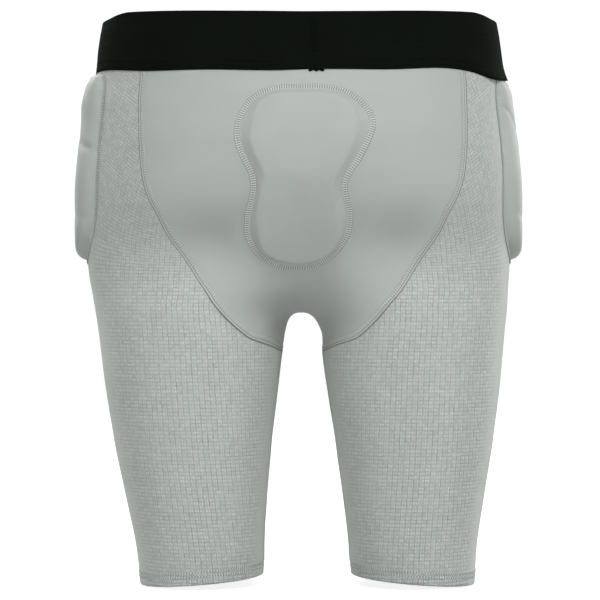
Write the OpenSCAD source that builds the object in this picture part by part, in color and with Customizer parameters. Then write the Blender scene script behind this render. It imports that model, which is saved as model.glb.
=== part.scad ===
// Padded impact shorts: elastic waistband, smooth seat and front panels, textured
// side and leg panels, tailbone, hip and thigh pads. The wearer faces -Y, +X is the
// wearer's left and +Z is up. The origin is the centre of the waist opening's rim.

/* [Garment] */
// Width across the hips, without pads
hip_w = 358; // [340:1:376]
// Scale of the front-to-back depth
depth_k = 1; // [0.94:0.01:1.06]
// Waist rim down to the crotch
rise = 247; // [235:1:260]
// Crotch down to the leg opening
inseam = 227; // [215:1:245]
// Slope of the leg opening, outer side lower
hem_tilt = 8; // [4:1:12]

/* [Fabric] */
// Thickness of the panels
fabric_t = 1.2; // [0.9:0.1:1.4]
// Height of the elastic waistband
band_h = 47; // [44:1:48]
// Thickness of the elastic waistband
band_t = 2; // [1.6:0.1:2.4]
// Height of the turned-up leg hem
hem_h = 11; // [10:1:16]
// Width of a flatlock seam
seam_w = 5; // [4:0.5:6]
// Proud height of a flatlock seam
seam_t = 0.7; // [0.5:0.1:0.9]

/* [Pads] */
// Foam thickness of the tailbone pad
tail_t = 7; // [5:0.5:9]
// Foam thickness of the hip pads
hip_t = 9.5; // [8:0.5:11]
// Foam thickness of the thigh pads
thigh_t = 8; // [6:0.5:9]
// Thickness of the fabric over a pad
cover_t = 1; // [0.8:0.1:1.2]
// Depth of the flex grooves in the hip foam
groove_d = 3; // [1:0.5:4]

/* [Hip joint] */
// Forward swing the leg cut leaves room for
flex_max = 60; // [30:5:60]
// Backward swing the leg cut leaves room for
extend_max = 15; // [5:5:15]

/* [Hidden] */
NODES = ["waistband_elastic", "waistband_join_stitch", "waistband_stitching", "care_label",
    "seat_panel", "front_panel", "side_panel_left", "side_panel_right",
    "seat_seam_left", "seat_seam_right", "front_seam_left", "front_seam_right",
    "tailbone_pad_core", "tailbone_pad_cover", "tailbone_pad_stitching",
    "hip_pad_core_left", "hip_pad_cover_left", "hip_pad_stitching_left",
    "hip_pad_core_right", "hip_pad_cover_right", "hip_pad_stitching_right",
    "leg_panel_left", "hem_left", "hem_stitching_left", "inseam_left",
    "thigh_pad_core_left", "thigh_pad_cover_left", "thigh_pad_stitching_left",
    "leg_panel_right", "hem_right", "hem_stitching_right", "inseam_right",
    "thigh_pad_core_right", "thigh_pad_cover_right", "thigh_pad_stitching_right"];
node = "all";

// Colours
GREY = [0.66, 0.68, 0.66];
MESH_GREY = [0.62, 0.64, 0.62];
THREAD = [0.72, 0.74, 0.72];
BLACK = [0.05, 0.06, 0.05];
BAND_THREAD = [0.12, 0.13, 0.12];
JOIN_THREAD = [0.1, 0.11, 0.1];
FOAM = [0.9, 0.9, 0.86];

// Sides of the wearer, and faces of the garment as the sign of Y
LEFT = 1;
RIGHT = -1;
BACK = 1;
FRONT = -1;

// Hinge line of both hip joints, parallel to X
hinge_y = -20;
hinge_z = -240;
// Space between the waistband and the panels, and each side of the crotch strip's split
gap = 0.3;
// Half the space between two panels, hidden under the flatlock seam
seam_gap = 1;
// Height of a flatlock seam's underside over the fabric
seam_lift = 0.3;
top_z = -band_h - gap;
hem_base = -rise - inseam;

function lerp(a, b, t) = a + (b - a) * t;
function ramp(t) = let(c = min(1, max(0, t))) c * c * (3 - 2 * c);
function pick(face, back, front) = face == BACK ? back : front;

// ---- body shape ------------------------------------------------------------
// Size the station tables are drawn for
ref_hip_w = 358;
ref_rise = 247;
ref_inseam = 229;
width_k = hip_w / ref_hip_w;

// Stations down the garment: [height, value]
// Outer side of the hips and legs, from the middle
OUTER_AT = [[0,166],[-14,168.5],[-34,171],[-60,174],[-110,177.5],[-160,179],[-200,179],
    [-232,176.5],[-272,171.5],[-321,165.8],[-364,159.5],[-406,151.7],[-449,144.5],[-481,141.5]];
// Depth of the hips behind and in front of y = 0
HIP_BACK_AT = [[0,96],[-40,103],[-80,114],[-110,120.5],[-130,121.5],[-150,117.5],[-170,109.5],
    [-190,101],[-210,95.5],[-230,92.5],[-250,91]];
HIP_FRONT_AT = [[0,97],[-40,101],[-90,105],[-140,106],[-190,103],[-220,99],[-250,95]];
// Inner side of a leg, from the middle
INNER_AT = [[-100,0],[-160,0],[-200,4],[-232,12],[-252,15],[-274,17],[-321,22.5],[-364,28],
    [-406,33],[-449,36],[-481,38]];
// Depth of a leg behind and in front of y = 0
LEG_BACK_AT = [[-100,119],[-150,116],[-180,105],[-205,96],[-232,91.5],[-252,89.5],[-274,87.5],
    [-321,82],[-364,76.5],[-406,71.5],[-449,67],[-481,64]];
LEG_FRONT_AT = [[-100,103],[-160,104],[-200,101],[-232,97],[-252,94],[-274,91],[-321,85],
    [-364,78],[-406,71],[-449,65],[-481,62]];
// Blend from one hip section (0) to two leg sections (1)
SPLIT_AT = [[-60,0],[-120,0.04],[-150,0.12],[-180,0.2],[-205,0.32],[-220,0.45],[-232,0.6],
    [-240,0.745],[-244,0.825],[-247,0.9],[-254,0.96],[-265,1]];
// Exponents of the hip and leg ovals, and the size that scales their field to a length
hip_power = 2.3;
leg_power = 2.1;
field_size = 95;
// Blend size where the two legs meet
fillet = 26;
// Search distances, longer than any part of the body, and bisection steps
face_reach = 150;
leg_reach = 190;
band_reach = 260;
fine = 20;
// Step for the surface gradient
gradient_step = 0.6;

function ref_z(z) = z > -rise ? z * ref_rise / rise
    : -ref_rise + (z + rise) * ref_inseam / inseam;

// Monotone cubic interpolation through a table of stations
function interval(T, z, i = 0) =
    (i >= len(T) - 2 || z >= T[i + 1][0]) ? i : interval(T, z, i + 1);
function chord(T, i) = (T[i + 1][1] - T[i][1]) / (T[i + 1][0] - T[i][0]);
function tangent(T, i) =
    i == 0 ? chord(T, 0) :
    i == len(T) - 1 ? chord(T, i - 1) :
    let(h0 = T[i][0] - T[i - 1][0], h1 = T[i + 1][0] - T[i][0],
        d0 = chord(T, i - 1), d1 = chord(T, i))
    d0 * d1 <= 0 ? 0 : 3 * (h0 + h1) / ((2 * h1 + h0) / d0 + (h1 + 2 * h0) / d1);
function station(T, z) =
    let(zc = min(T[0][0], max(T[len(T) - 1][0], z)), i = interval(T, zc),
        h = T[i + 1][0] - T[i][0], t = (zc - T[i][0]) / h, u = 1 - t)
    (1 + 2 * t) * u * u * T[i][1] + t * u * u * h * tangent(T, i)
    + t * t * (3 - 2 * t) * T[i + 1][1] - t * t * u * h * tangent(T, i + 1);

// Section of the garment at one height, and what its entries are
OUTER = 0;
HIP_BACK = 1;
HIP_FRONT = 2;
LEG_MID = 3;
LEG_HALF_W = 4;
LEG_BACK = 5;
LEG_FRONT = 6;
SPLIT = 7;
function section(z) =
    let(r = ref_z(z), outer = station(OUTER_AT, r), inner = station(INNER_AT, r))
    [outer, station(HIP_BACK_AT, r), station(HIP_FRONT_AT, r),
        (outer + inner) / 2, (outer - inner) / 2,
        station(LEG_BACK_AT, r), station(LEG_FRONT_AT, r), station(SPLIT_AT, r)];

function smooth_min(a, b, k) = let(h = min(1, max(0, 0.5 + 0.5 * (b - a) / k)))
    b * (1 - h) + a * h - k * h * (1 - h);
function oval(u, v, n) =
    field_size * (pow(pow(abs(u), n) + pow(abs(v), n) + 1e-12, 1 / n) - 1);
// Below zero inside the garment, zero on the outer face of the fabric
function field(sec, px, py) =
    let(x = px / width_k, y = py / depth_k, split = sec[SPLIT],
        hips = split > 0.999 ? 0 :
            oval(x / sec[OUTER], y / sec[y > 0 ? HIP_BACK : HIP_FRONT], hip_power))
    split < 0.001 ? hips :
    let(mid = sec[LEG_MID], half = sec[LEG_HALF_W],
        v = y / sec[y > 0 ? LEG_BACK : LEG_FRONT])
    (1 - split) * hips + split * smooth_min(
        oval((x - mid) / half, v, leg_power), oval((x + mid) / half, v, leg_power), fillet);
// Distance from start along dir to the surface, by bisection
function edge_dist(sec, start, dir, lo, hi, steps = fine) =
    let(m = (lo + hi) / 2)
    steps == 0 ? m :
    field(sec, start[0] + dir[0] * m, start[1] + dir[1] * m) < 0
        ? edge_dist(sec, start, dir, m, hi, steps - 1)
        : edge_dist(sec, start, dir, lo, m, steps - 1);
function unit(v) = v / norm(v);
function normal_at(p) =
    let(sec = section(p[2]), x = p[0], y = p[1], e = gradient_step)
    unit([field(sec, x + e, y) - field(sec, x - e, y),
        field(sec, x, y + e) - field(sec, x, y - e),
        field(section(p[2] + e), x, y) - field(section(p[2] - e), x, y)]);

// Surface points, each as [point, outward normal]
function with_normal(p) = [p, normal_at(p)];
function face_y(x, z, face, steps = fine) =
    face * edge_dist(section(z), [x, 0], [0, face], 0, face_reach * depth_k, steps);
function on_face(x, z, face) = with_normal([x, face_y(x, z, face), z]);
function leg_mid(z) = section(z)[LEG_MID] * width_k;
// Outer side of the left hip
function on_side(y, z) = let(mid = leg_mid(z))
    with_normal([mid + edge_dist(section(z), [mid, y], [1, 0], 0, face_reach * width_k), y, z]);
// Angle a about the left leg's centre: 0 inner, 90 back, 180 outer, 270 front
function leg_point(a, z) =
    let(mid = leg_mid(z), dir = [-cos(a), sin(a)],
        reach = cos(a) > 0.05 ? min(leg_reach, mid / cos(a)) : leg_reach,
        r = edge_dist(section(z), [mid, 0], dir, 0, reach))
    [mid + dir[0] * r, dir[1] * r, z];
function on_leg(a, z) = with_normal(leg_point(a, z));
// Underside of the crotch, where x is small
function on_crotch(x, y) = with_normal([x, y, crotch_z(x, y, -rise + 60, -rise - 40)]);
function crotch_z(x, y, hi, lo, steps = 22) =
    let(m = (hi + lo) / 2)
    steps == 0 ? m :
    field(section(m), x, y) < 0 ? crotch_z(x, y, m, lo, steps - 1)
        : crotch_z(x, y, hi, m, steps - 1);

// ---- sheets and domes over grids of surface points -------------------------
function mirror_x(grid) = [for (row = grid) [for (q = row)
    [[-q[0][0], q[0][1], q[0][2]], [-q[1][0], q[1][1], q[1][2]]]]];
// Reverses each row, which turns a grid's faces over
function flip(grid) = [for (row = grid) [for (i = [len(row) - 1:-1:0]) row[i]]];
// A grid drawn for the left, moved to a side of the wearer
function for_side(grid, side) = side == RIGHT ? flip(mirror_x(grid)) : grid;

// A height over the surface is a number or a function(row, surface point)
function height(h, i, q) = is_function(h) ? h(i, q) : h;
function skin(grid, h) = [for (i = [0:len(grid) - 1]) for (q = grid[i])
    q[0] + q[1] * height(h, i, q)];
function quad(a, b, c, d) = [[a, b, c], [a, c, d]];
// Top quad and the one below it, whose indices are n higher
function quad_pair(a, b, c, d, n) = concat(quad(a, b, c, d), quad(a + n, d + n, c + n, b + n));

// A closed sheet between heights bottom and top. keep(i, j) says which cells exist;
// loop joins the last column to the first.
module sheet(grid, bottom, top, loop = false, keep = function(i, j) true) {
    rows = len(grid) - 1;
    width = len(grid[0]);
    cols = loop ? width : width - 1;
    n = len(grid) * width;
    id = function(i, j) i * width + j % width;
    kept = function(i, j) i >= 0 && i < rows && (loop || (j >= 0 && j < cols))
        && keep(i, (j + cols) % cols);
    faces = [
        for (i = [0:rows - 1]) for (j = [0:cols - 1])
        let(a = id(i, j), b = id(i + 1, j), c = id(i + 1, j + 1), d = id(i, j + 1))
        if (kept(i, j)) each concat(
            quad_pair(a, b, c, d, n),
            kept(i - 1, j) ? [] : quad(a, d, d + n, a + n),
            kept(i + 1, j) ? [] : quad(b, b + n, c + n, c),
            kept(i, j - 1) ? [] : quad(a, a + n, b + n, b),
            kept(i, j + 1) ? [] : quad(d, c, c + n, d + n))
    ];
    polyhedron(concat(skin(grid, top), skin(grid, bottom)), faces, convexity = 10);
}
// A closed dome; row 0 of the grid is the centre point alone, the others are rings
module dome(grid, bottom, top) {
    rings = len(grid) - 1;
    cols = len(grid[1]);
    n = rings * cols + 1;
    id = function(i, j) 1 + (i - 1) * cols + j % cols;
    faces = [
        for (j = [0:cols - 1])
        let(a = id(1, j), b = id(1, j + 1), c = id(rings, j), d = id(rings, j + 1))
        each concat([[0, a, b], [n, n + b, n + a]], quad(c, c + n, d + n, d)),
        for (i = [1:rings - 1]) for (j = [0:cols - 1])
        each quad_pair(id(i, j), id(i + 1, j), id(i + 1, j + 1), id(i, j + 1), n)
    ];
    polyhedron(concat(skin(grid, top), skin(grid, bottom)), faces, convexity = 10);
}

// ---- waistband -------------------------------------------------------------
band_cols = 48;
band_rows = 4;
// Heights of the two stitch rows over the band's lower edge
BAND_STITCH_LIFTS = [3.5, 8];
stitch_half_h = 0.5;
// Stitched column beside the centre back, on the wearer's right
JOIN_X = [-9.3, -12.7];
join_top_z = -6;
join_bottom_z = 13 - band_h;
join_rows = 4;
// Label columns and extent
LABEL_X = [19, 6, -6, -19];
label_top_z = -8;
label_h = 30;
label_rows = 3;

function band_ring(z) = [for (k = [0:band_cols - 1])
    let(a = 360 * k / band_cols, dir = [cos(a), sin(a)],
        r = edge_dist(section(z), [0, 0], dir, 0, band_reach))
    with_normal([r * dir[0], r * dir[1], z])];
module waistband_elastic() {
    rings = [for (i = [0:band_rows]) band_ring(-band_h * i / band_rows)];
    color(BLACK) sheet(flip(rings), -band_t, 0, loop = true);
}
// Two rows of stitching that hold the band to the panels
module waistband_stitching() {
    color(BAND_THREAD) for (z = BAND_STITCH_LIFTS - [band_h, band_h])
        sheet(flip([band_ring(z + stitch_half_h), band_ring(z - stitch_half_h)]),
            0.25, 0.75, loop = true);
}
// Stitched column that closes the elastic loop
module waistband_join_stitch() {
    grid = [for (i = [0:join_rows]) [for (x = JOIN_X)
        on_face(x, lerp(join_top_z, join_bottom_z, i / join_rows), BACK)]];
    color(JOIN_THREAD) sheet(grid, 0.2, 0.8);
}
// Blank label inside the centre back
module care_label() {
    grid = [for (i = [0:label_rows]) [for (x = LABEL_X)
        on_face(x, label_top_z - label_h * i / label_rows, BACK)]];
    color("white") sheet(grid, -band_t - 0.55, -band_t - 0.15);
}

// ---- hip panels ------------------------------------------------------------
// Sewing lines beside the seat and front panels: [height, distance from the centre]
SEAT_LINE = [[-30,130.5],[-50,130.5],[-81,131.5],[-94,131.5],[-113.5,130.5],[-133,128],
    [-150.5,122],[-164.5,115],[-181.5,109],[-205.4,91.5],[-229,76.2],[-256,53.8],[-270.5,36],
    [-278.5,17.6]];
FRONT_LINE = [[-40,84],[-90,86],[-130,84],[-165,76],[-195,62],[-222,46],[-245,32],[-265,21],
    [-279,17.5]];
function line_x(z, face) = station(pick(face, SEAT_LINE, FRONT_LINE), ref_z(z)) * width_k;
// Height on the sewing line at share t of the panel's length
function line_z(t, face) = lerp(top_z, pick(face, -219, -196), t);

// Lower edge of the hip part: planes that meet just over the hinge line leave room for the swing
cut_lift = 4;
cut_spare = 1.5; // degrees
function cut_plane(y, face) = hinge_z + cut_lift
    + face * (y - hinge_y) * tan(pick(face, extend_max, flex_max) / 2 + cut_spare);
function cut_z(y) = cut_plane(y, y > hinge_y ? BACK : FRONT);
// Height where the cut meets the surface, by repeated substitution
function settle_face(x, face, z, rounds = 5) = rounds == 0 ? z :
    settle_face(x, face, cut_plane(face_y(x, z, face, steps = 16), face), rounds - 1);
function panel_end(x, face) = settle_face(x, face, pick(face, -220, -200));
function side_end(a, z = -225, rounds = 6) = rounds == 0 ? z :
    side_end(a, cut_z(leg_point(a, z)[1]), rounds - 1);

// Half width of the strip under the crotch, and where it passes from the seat to the front panel
strip = 14;
split_y = -34;
// Columns between the seam and the strip
panel_cols = 9;
seat_rows = 14;
front_rows = 12;
function panel_xs(outer_x) = concat(
    [for (k = [0:panel_cols]) lerp(outer_x, strip, k / panel_cols)],
    [0],
    [for (k = [0:panel_cols]) lerp(-strip, -outer_x, k / panel_cols)]);
// Outer columns follow the seam; below the cut only the strip carries on
function panel_grid(face, rows, strip_rows) = concat(
    [for (i = [0:rows]) let(t = i / rows, outer_x = line_x(line_z(t, face), face) - seam_gap)
        [for (x = panel_xs(outer_x)) on_face(x, lerp(top_z, panel_end(x, face), t), face)]],
    [for (i = [1:strip_rows]) [for (x = panel_xs(strip))
        on_crotch(x, lerp(face_y(x, panel_end(x, face), face), split_y + face * gap,
            i / strip_rows))]]);
module centre_panel(grid, rows) {
    color(GREY) sheet(grid, -fabric_t, 0,
        keep = function(i, j) i < rows || j == panel_cols || j == panel_cols + 1);
}
module seat_panel() {
    centre_panel(panel_grid(BACK, seat_rows, 8), seat_rows);
}
module front_panel() {
    centre_panel(flip(panel_grid(FRONT, front_rows, 5)), front_rows);
}

side_cols = 22;
side_rows = 10;
// Angle about the leg's centre of the side panel's edge
function side_edge_angle(t, face) =
    let(z = line_z(t, face), x = line_x(z, face) + seam_gap,
        a = atan2(face_y(x, z, face, steps = 18), leg_mid(z) - x))
    pick(face, a, 360 + a);
module side_panel(side) {
    grid = [for (i = [0:side_rows])
        let(t = i / side_rows, a0 = side_edge_angle(t, BACK), a1 = side_edge_angle(t, FRONT))
        [for (j = [0:side_cols]) let(a = lerp(a0, a1, j / side_cols))
            on_leg(a, lerp(top_z, side_end(a), t))]];
    color(MESH_GREY) sheet(for_side(grid, side), -fabric_t, 0);
}

// Flatlock seams beside the seat and front panels
seam_top_z = top_z - 0.5;
module flatlock_seam(side, face, end_z, rows) {
    grid = [for (i = [0:rows])
        let(z = lerp(seam_top_z, end_z, i / rows), x = line_x(z, face), half = face * seam_w / 2)
        [on_face(x + half, z, face), on_face(x - half, z, face)]];
    color(THREAD) sheet(for_side(grid, side), seam_lift, seam_lift + seam_t);
}
module seat_seam(side) {
    flatlock_seam(side, BACK, end_z = -214, rows = seat_rows);
}
module front_seam(side) {
    flatlock_seam(side, FRONT, end_z = -190, rows = front_rows);
}

// ---- legs ------------------------------------------------------------------
leg_cols = 40;
leg_rows = 11;
LEG_ANGLES = [for (j = [0:leg_cols - 1]) 360 * j / leg_cols];
// Space between the hip part and the leg's upper edge
leg_drop = 1.2;
// Least distance of the leg's upper edge from the middle, clear of the crotch strip
clear_x = strip + 2;
// The leg opening slopes about this x, by hem_tilt over the span
hem_mid_x = 90 * width_k;
hem_span = 104 * width_k;
// Inset of the leg's upper edge, and how fast it fades down the leg
tuck_d = 3.6;
tuck_fade = 2.2;
// Heights of the two hem stitch rows below the hem's upper edge
HEM_STITCH_DROPS = [1.6, 5.4];
hem_stitch_half_h = 0.9;
hem_rows = 2;
// Inseam: rows, drop of its top below the crotch, half width at the top in degrees and
// the share it widens by; its inset starts part way down the leg's tuck
inseam_rows = 8;
inseam_drop = 36;
inseam_half_a = 3.4;
inseam_flare = 0.4;
inseam_tuck_start = 0.16;
inseam_tuck_rows = 9;

function clear_z(a, hi, lo, steps = 12) =
    let(m = (hi + lo) / 2)
    steps == 0 ? lo :
    leg_point(a, m)[0] > clear_x ? clear_z(a, hi, m, steps - 1) : clear_z(a, m, lo, steps - 1);
// Upper edge of a leg: just under the hip part, and clear of the strip at the inner thigh
function leg_top(a) = let(z = side_end(a) - leg_drop)
    leg_point(a, z)[0] > clear_x ? z : clear_z(a, z, -rise - 60);
function hem_z(a, lift) = let(x = leg_point(a, hem_base + 4)[0])
    hem_base + lift - hem_tilt * (x - hem_mid_x) / hem_span;
function hem_ring(lift) = [for (a = LEG_ANGLES) on_leg(a, hem_z(a, lift))];
// The leg's upper edge sits a little inside the hip part, so that it can swing up into it
function tuck(t) = tuck_d * (1 - ramp(t * tuck_fade));

module leg_panel(side) {
    grid = [for (i = [0:leg_rows]) [for (a = LEG_ANGLES)
        on_leg(a, lerp(leg_top(a), hem_z(a, hem_h + gap), i / leg_rows))]];
    color(MESH_GREY) sheet(for_side(grid, side),
        function(i, q) -fabric_t - tuck(i / leg_rows), function(i, q) -tuck(i / leg_rows),
        loop = true);
}
module hem(side) {
    grid = [for (i = [0:hem_rows]) hem_ring(hem_h * (1 - i / hem_rows))];
    color(MESH_GREY) sheet(for_side(grid, side), -fabric_t * 1.6, 0.1, loop = true);
}
module hem_stitching(side) {
    color(THREAD) for (drop = HEM_STITCH_DROPS)
        sheet(for_side([hem_ring(hem_h - drop + hem_stitch_half_h),
            hem_ring(hem_h - drop - hem_stitch_half_h)], side), 0.15, 0.6, loop = true);
}
module inseam_seam(side) {
    end_z = hem_z(0, hem_h + 1);
    grid = [for (i = [0:inseam_rows])
        let(t = i / inseam_rows, z = lerp(-rise - inseam_drop, end_z, t))
        [for (a = [-inseam_half_a, inseam_half_a]) on_leg(a * (1 + inseam_flare * t), z)]];
    under = function(i, q) seam_lift - tuck(inseam_tuck_start + i / inseam_tuck_rows);
    color(THREAD) sheet(for_side(grid, side), under, function(i, q) under(i, q) + seam_t);
}

// ---- pads ------------------------------------------------------------------
// Height of a pad's underside over the garment
base = 0.8;

// Profiles run from the centre out: [ring scale, share of the foam thickness]
function pad_grid(centre, ring, profile) =
    concat([[centre]], [for (i = [1:len(profile) - 1]) ring(profile[i][0])]);
function foam_top(profile, foam, lift) =
    function(i, q) lift + height(foam, i, q) * profile[i][1];
module pad_core(grid, profile, foam, bottom = base) {
    color(FOAM) dome(grid, bottom, foam_top(profile, foam, base));
}
// slack is the space between the foam and its cover
module pad_cover(grid, profile, foam, slack) {
    inner = foam_top(profile, foam, base + slack);
    color(GREY) dome(grid, inner, function(i, q) inner(i, q) + cover_t);
}
// lifts are the heights of the two edges over the cover's rim
module pad_stitching(rings, lifts) {
    under = function(i, q) base + cover_t + lifts[i];
    color(THREAD) sheet(rings, under, function(i, q) under(i, q) + seam_t, loop = true);
}

// Tailbone pad outline: an hourglass with the wider lobe up, as [x, z] points round its edge
TAIL = [[0,-61.3],[-20,-61.3],[-38.6,-65],[-53.5,-75],[-62,-88.5],[-61,-101],[-51.5,-121.5],
    [-42.5,-137],[-41,-148],[-44.5,-166],[-42,-184.5],[-30.5,-200.5],[-13.8,-210.4],[1.6,-212],
    [17,-210.4],[34.5,-201],[43.8,-184.5],[44,-168],[40.5,-150],[40.3,-137],[48.5,-117],
    [51.9,-103.7],[50.5,-90.5],[44.8,-78.5],[36,-69],[20,-62.3]];
TAIL_CORE = [[0,1],[0.25,1],[0.5,1],[0.68,1],[0.8,0.94],[0.9,0.45]];
TAIL_COVER = [[0,1],[0.25,1],[0.5,1],[0.68,1],[0.81,0.98],[0.91,0.6],[0.965,0.04],[1,0]];
// The foam's inner face is hollow along the middle, so that its long facets clear the panel:
// height of each row of TAIL_CORE over the base
TAIL_HOLLOW = [2.7, 2.5, 1.7, 1.2, 0.8, 0.8];
tail_cols = 44;
// Rings shrink towards a short upright line, so both lobes keep their shape
tail_line_x = -2;
tail_line_top = -96;
tail_line_bottom = -176;

// Closed Catmull-Rom spline through the points P
function round_spline(P, u) =
    let(n = len(P), i = floor(u) % n, t = u - floor(u),
        a = P[(i + n - 1) % n], b = P[i], c = P[(i + 1) % n], d = P[(i + 2) % n])
    0.5 * (2 * b + (c - a) * t + (2 * a - 5 * b + 4 * c - d) * t * t
        + (3 * b - a - 3 * c + d) * t * t * t);
function tail_point(u, k) =
    let(p = round_spline(TAIL, u),
        q = lerp([tail_line_x, max(tail_line_bottom, min(tail_line_top, p[1]))], p, k))
    on_face(q[0], q[1], BACK);
tail_ring = function(k)
    [for (j = [tail_cols - 1:-1:0]) tail_point(len(TAIL) * j / tail_cols, k)];
function tail_grid(profile) = pad_grid(
    on_face(tail_line_x, (tail_line_top + tail_line_bottom) / 2, BACK), tail_ring, profile);
module tailbone_pad_core() {
    pad_core(tail_grid(TAIL_CORE), TAIL_CORE, tail_t, function(i, q) base + TAIL_HOLLOW[i]);
}
module tailbone_pad_cover() {
    pad_cover(tail_grid(TAIL_COVER), TAIL_COVER, tail_t, slack = 0.25);
}
module tailbone_pad_stitching() {
    pad_stitching([tail_ring(0.975), tail_ring(1.05)], lifts = [0.6, 0.6]);
}

// Superellipse point at angle a, with half width w, half height h and exponent n
function superoval(a, w, h, n) =
    pow(pow(abs(cos(a)) / w, n) + pow(abs(sin(a)) / h, n), -1 / n) * [cos(a), sin(a)];

// Hip pad on the side of the hip: centre as [y, z]
hip_mid = [-14, -126];
hip_cols = 32;
HIP_CORE = [[0,1],[0.15,1],[0.3,1],[0.45,1],[0.6,1],[0.72,1],[0.83,1],[0.91,0.9],[0.95,0.5]];
HIP_COVER = [[0,1],[0.15,1],[0.3,1],[0.45,1],[0.6,1],[0.72,1],[0.83,1],[0.91,0.95],
    [0.965,0.62],[0.985,0.05],[1,0]];
// Slanting flex grooves: [height at y = 0, rise per y]
GROOVES = [[-96, 0.28], [-158, -0.2]];
groove_half_w = 5;
// The foam is thinner above hip_thin_z and reaches full thickness over hip_thin_span below it
hip_thin_share = 0.74;
hip_thin_z = -60;
hip_thin_span = 60;

// Narrower at its lower end
function hip_outline(a) = let(s = sin(a))
    s < 0 ? superoval(a, 64 - 17 * s * s, 76, 2.7) : superoval(a, 64, 74.5, 3.6);
function hip_point(a, k) = let(p = hip_mid + hip_outline(a) * k) on_side(p[0], p[1]);
hip_ring = function(k) [for (j = [0:hip_cols - 1]) hip_point(360 * j / hip_cols, k)];
function hip_grid(profile, side) =
    flip(for_side(pad_grid(on_side(hip_mid[0], hip_mid[1]), hip_ring, profile), side));
// Share of the groove depth at point p
function groove_at(p, line) =
    let(g = (p[2] - line[0] - line[1] * p[1]) / groove_half_w) exp(-g * g);
hip_foam = function(i, q)
    hip_t * lerp(hip_thin_share, 1, ramp((hip_thin_z - q[0][2]) / hip_thin_span))
    - groove_d * (groove_at(q[0], GROOVES[0]) + groove_at(q[0], GROOVES[1]));
module hip_pad_core(side) {
    pad_core(hip_grid(HIP_CORE, side), HIP_CORE, hip_foam);
}
module hip_pad_cover(side) {
    pad_cover(hip_grid(HIP_COVER, side), HIP_COVER, hip_foam, slack = 0.25);
}
module hip_pad_stitching(side) {
    rings = [hip_ring(0.99), hip_ring(1.035)];
    pad_stitching(flip(for_side(rings, side)), lifts = [1.2, 0.45]);
}

// Thigh pad on the front of the thigh
thigh_mid_z = -372;
thigh_mid_a = 270;
// Leg radius that turns the outline's width into an angle
thigh_r = 66;
radian = 57.3; // degrees
thigh_cols = 28;
THIGH_CORE = [[0,1],[0.18,1],[0.36,1],[0.54,1],[0.7,1],[0.82,0.98],[0.9,0.86],[0.95,0.45]];
THIGH_COVER = [[0,1],[0.18,1],[0.36,1],[0.54,1],[0.7,1],[0.82,1],[0.91,0.93],[0.96,0.6],
    [0.985,0.05],[1,0]];

// Wider at its upper end
function thigh_outline(a) = superoval(a, 46 + 6 * sin(a), 66, 2.8);
function thigh_point(p) = on_leg(thigh_mid_a + p[0] / thigh_r * radian, thigh_mid_z + p[1]);
thigh_ring = function(k)
    [for (j = [0:thigh_cols - 1]) thigh_point(thigh_outline(360 * j / thigh_cols) * k)];
function thigh_grid(profile, side) =
    flip(for_side(pad_grid(thigh_point([0, 0]), thigh_ring, profile), side));
module thigh_pad_core(side) {
    pad_core(thigh_grid(THIGH_CORE, side), THIGH_CORE, thigh_t);
}
module thigh_pad_cover(side) {
    pad_cover(thigh_grid(THIGH_COVER, side), THIGH_COVER, thigh_t, slack = 0.2);
}
module thigh_pad_stitching(side) {
    rings = [thigh_ring(0.99), thigh_ring(1.045)];
    pad_stitching(flip(for_side(rings, side)), lifts = [1.1, 0.4]);
}

function shown(name) = node == "all" || node == name;
if (shown("waistband_elastic")) waistband_elastic();
if (shown("waistband_join_stitch")) waistband_join_stitch();
if (shown("waistband_stitching")) waistband_stitching();
if (shown("care_label")) care_label();
if (shown("seat_panel")) seat_panel();
if (shown("front_panel")) front_panel();
if (shown("side_panel_left")) side_panel(LEFT);
if (shown("side_panel_right")) side_panel(RIGHT);
if (shown("seat_seam_left")) seat_seam(LEFT);
if (shown("seat_seam_right")) seat_seam(RIGHT);
if (shown("front_seam_left")) front_seam(LEFT);
if (shown("front_seam_right")) front_seam(RIGHT);
if (shown("tailbone_pad_core")) tailbone_pad_core();
if (shown("tailbone_pad_cover")) tailbone_pad_cover();
if (shown("tailbone_pad_stitching")) tailbone_pad_stitching();
if (shown("hip_pad_core_left")) hip_pad_core(LEFT);
if (shown("hip_pad_cover_left")) hip_pad_cover(LEFT);
if (shown("hip_pad_stitching_left")) hip_pad_stitching(LEFT);
if (shown("hip_pad_core_right")) hip_pad_core(RIGHT);
if (shown("hip_pad_cover_right")) hip_pad_cover(RIGHT);
if (shown("hip_pad_stitching_right")) hip_pad_stitching(RIGHT);
if (shown("leg_panel_left")) leg_panel(LEFT);
if (shown("hem_left")) hem(LEFT);
if (shown("hem_stitching_left")) hem_stitching(LEFT);
if (shown("inseam_left")) inseam_seam(LEFT);
if (shown("thigh_pad_core_left")) thigh_pad_core(LEFT);
if (shown("thigh_pad_cover_left")) thigh_pad_cover(LEFT);
if (shown("thigh_pad_stitching_left")) thigh_pad_stitching(LEFT);
if (shown("leg_panel_right")) leg_panel(RIGHT);
if (shown("hem_right")) hem(RIGHT);
if (shown("hem_stitching_right")) hem_stitching(RIGHT);
if (shown("inseam_right")) inseam_seam(RIGHT);
if (shown("thigh_pad_core_right")) thigh_pad_core(RIGHT);
if (shown("thigh_pad_cover_right")) thigh_pad_cover(RIGHT);
if (shown("thigh_pad_stitching_right")) thigh_pad_stitching(RIGHT);
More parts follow.
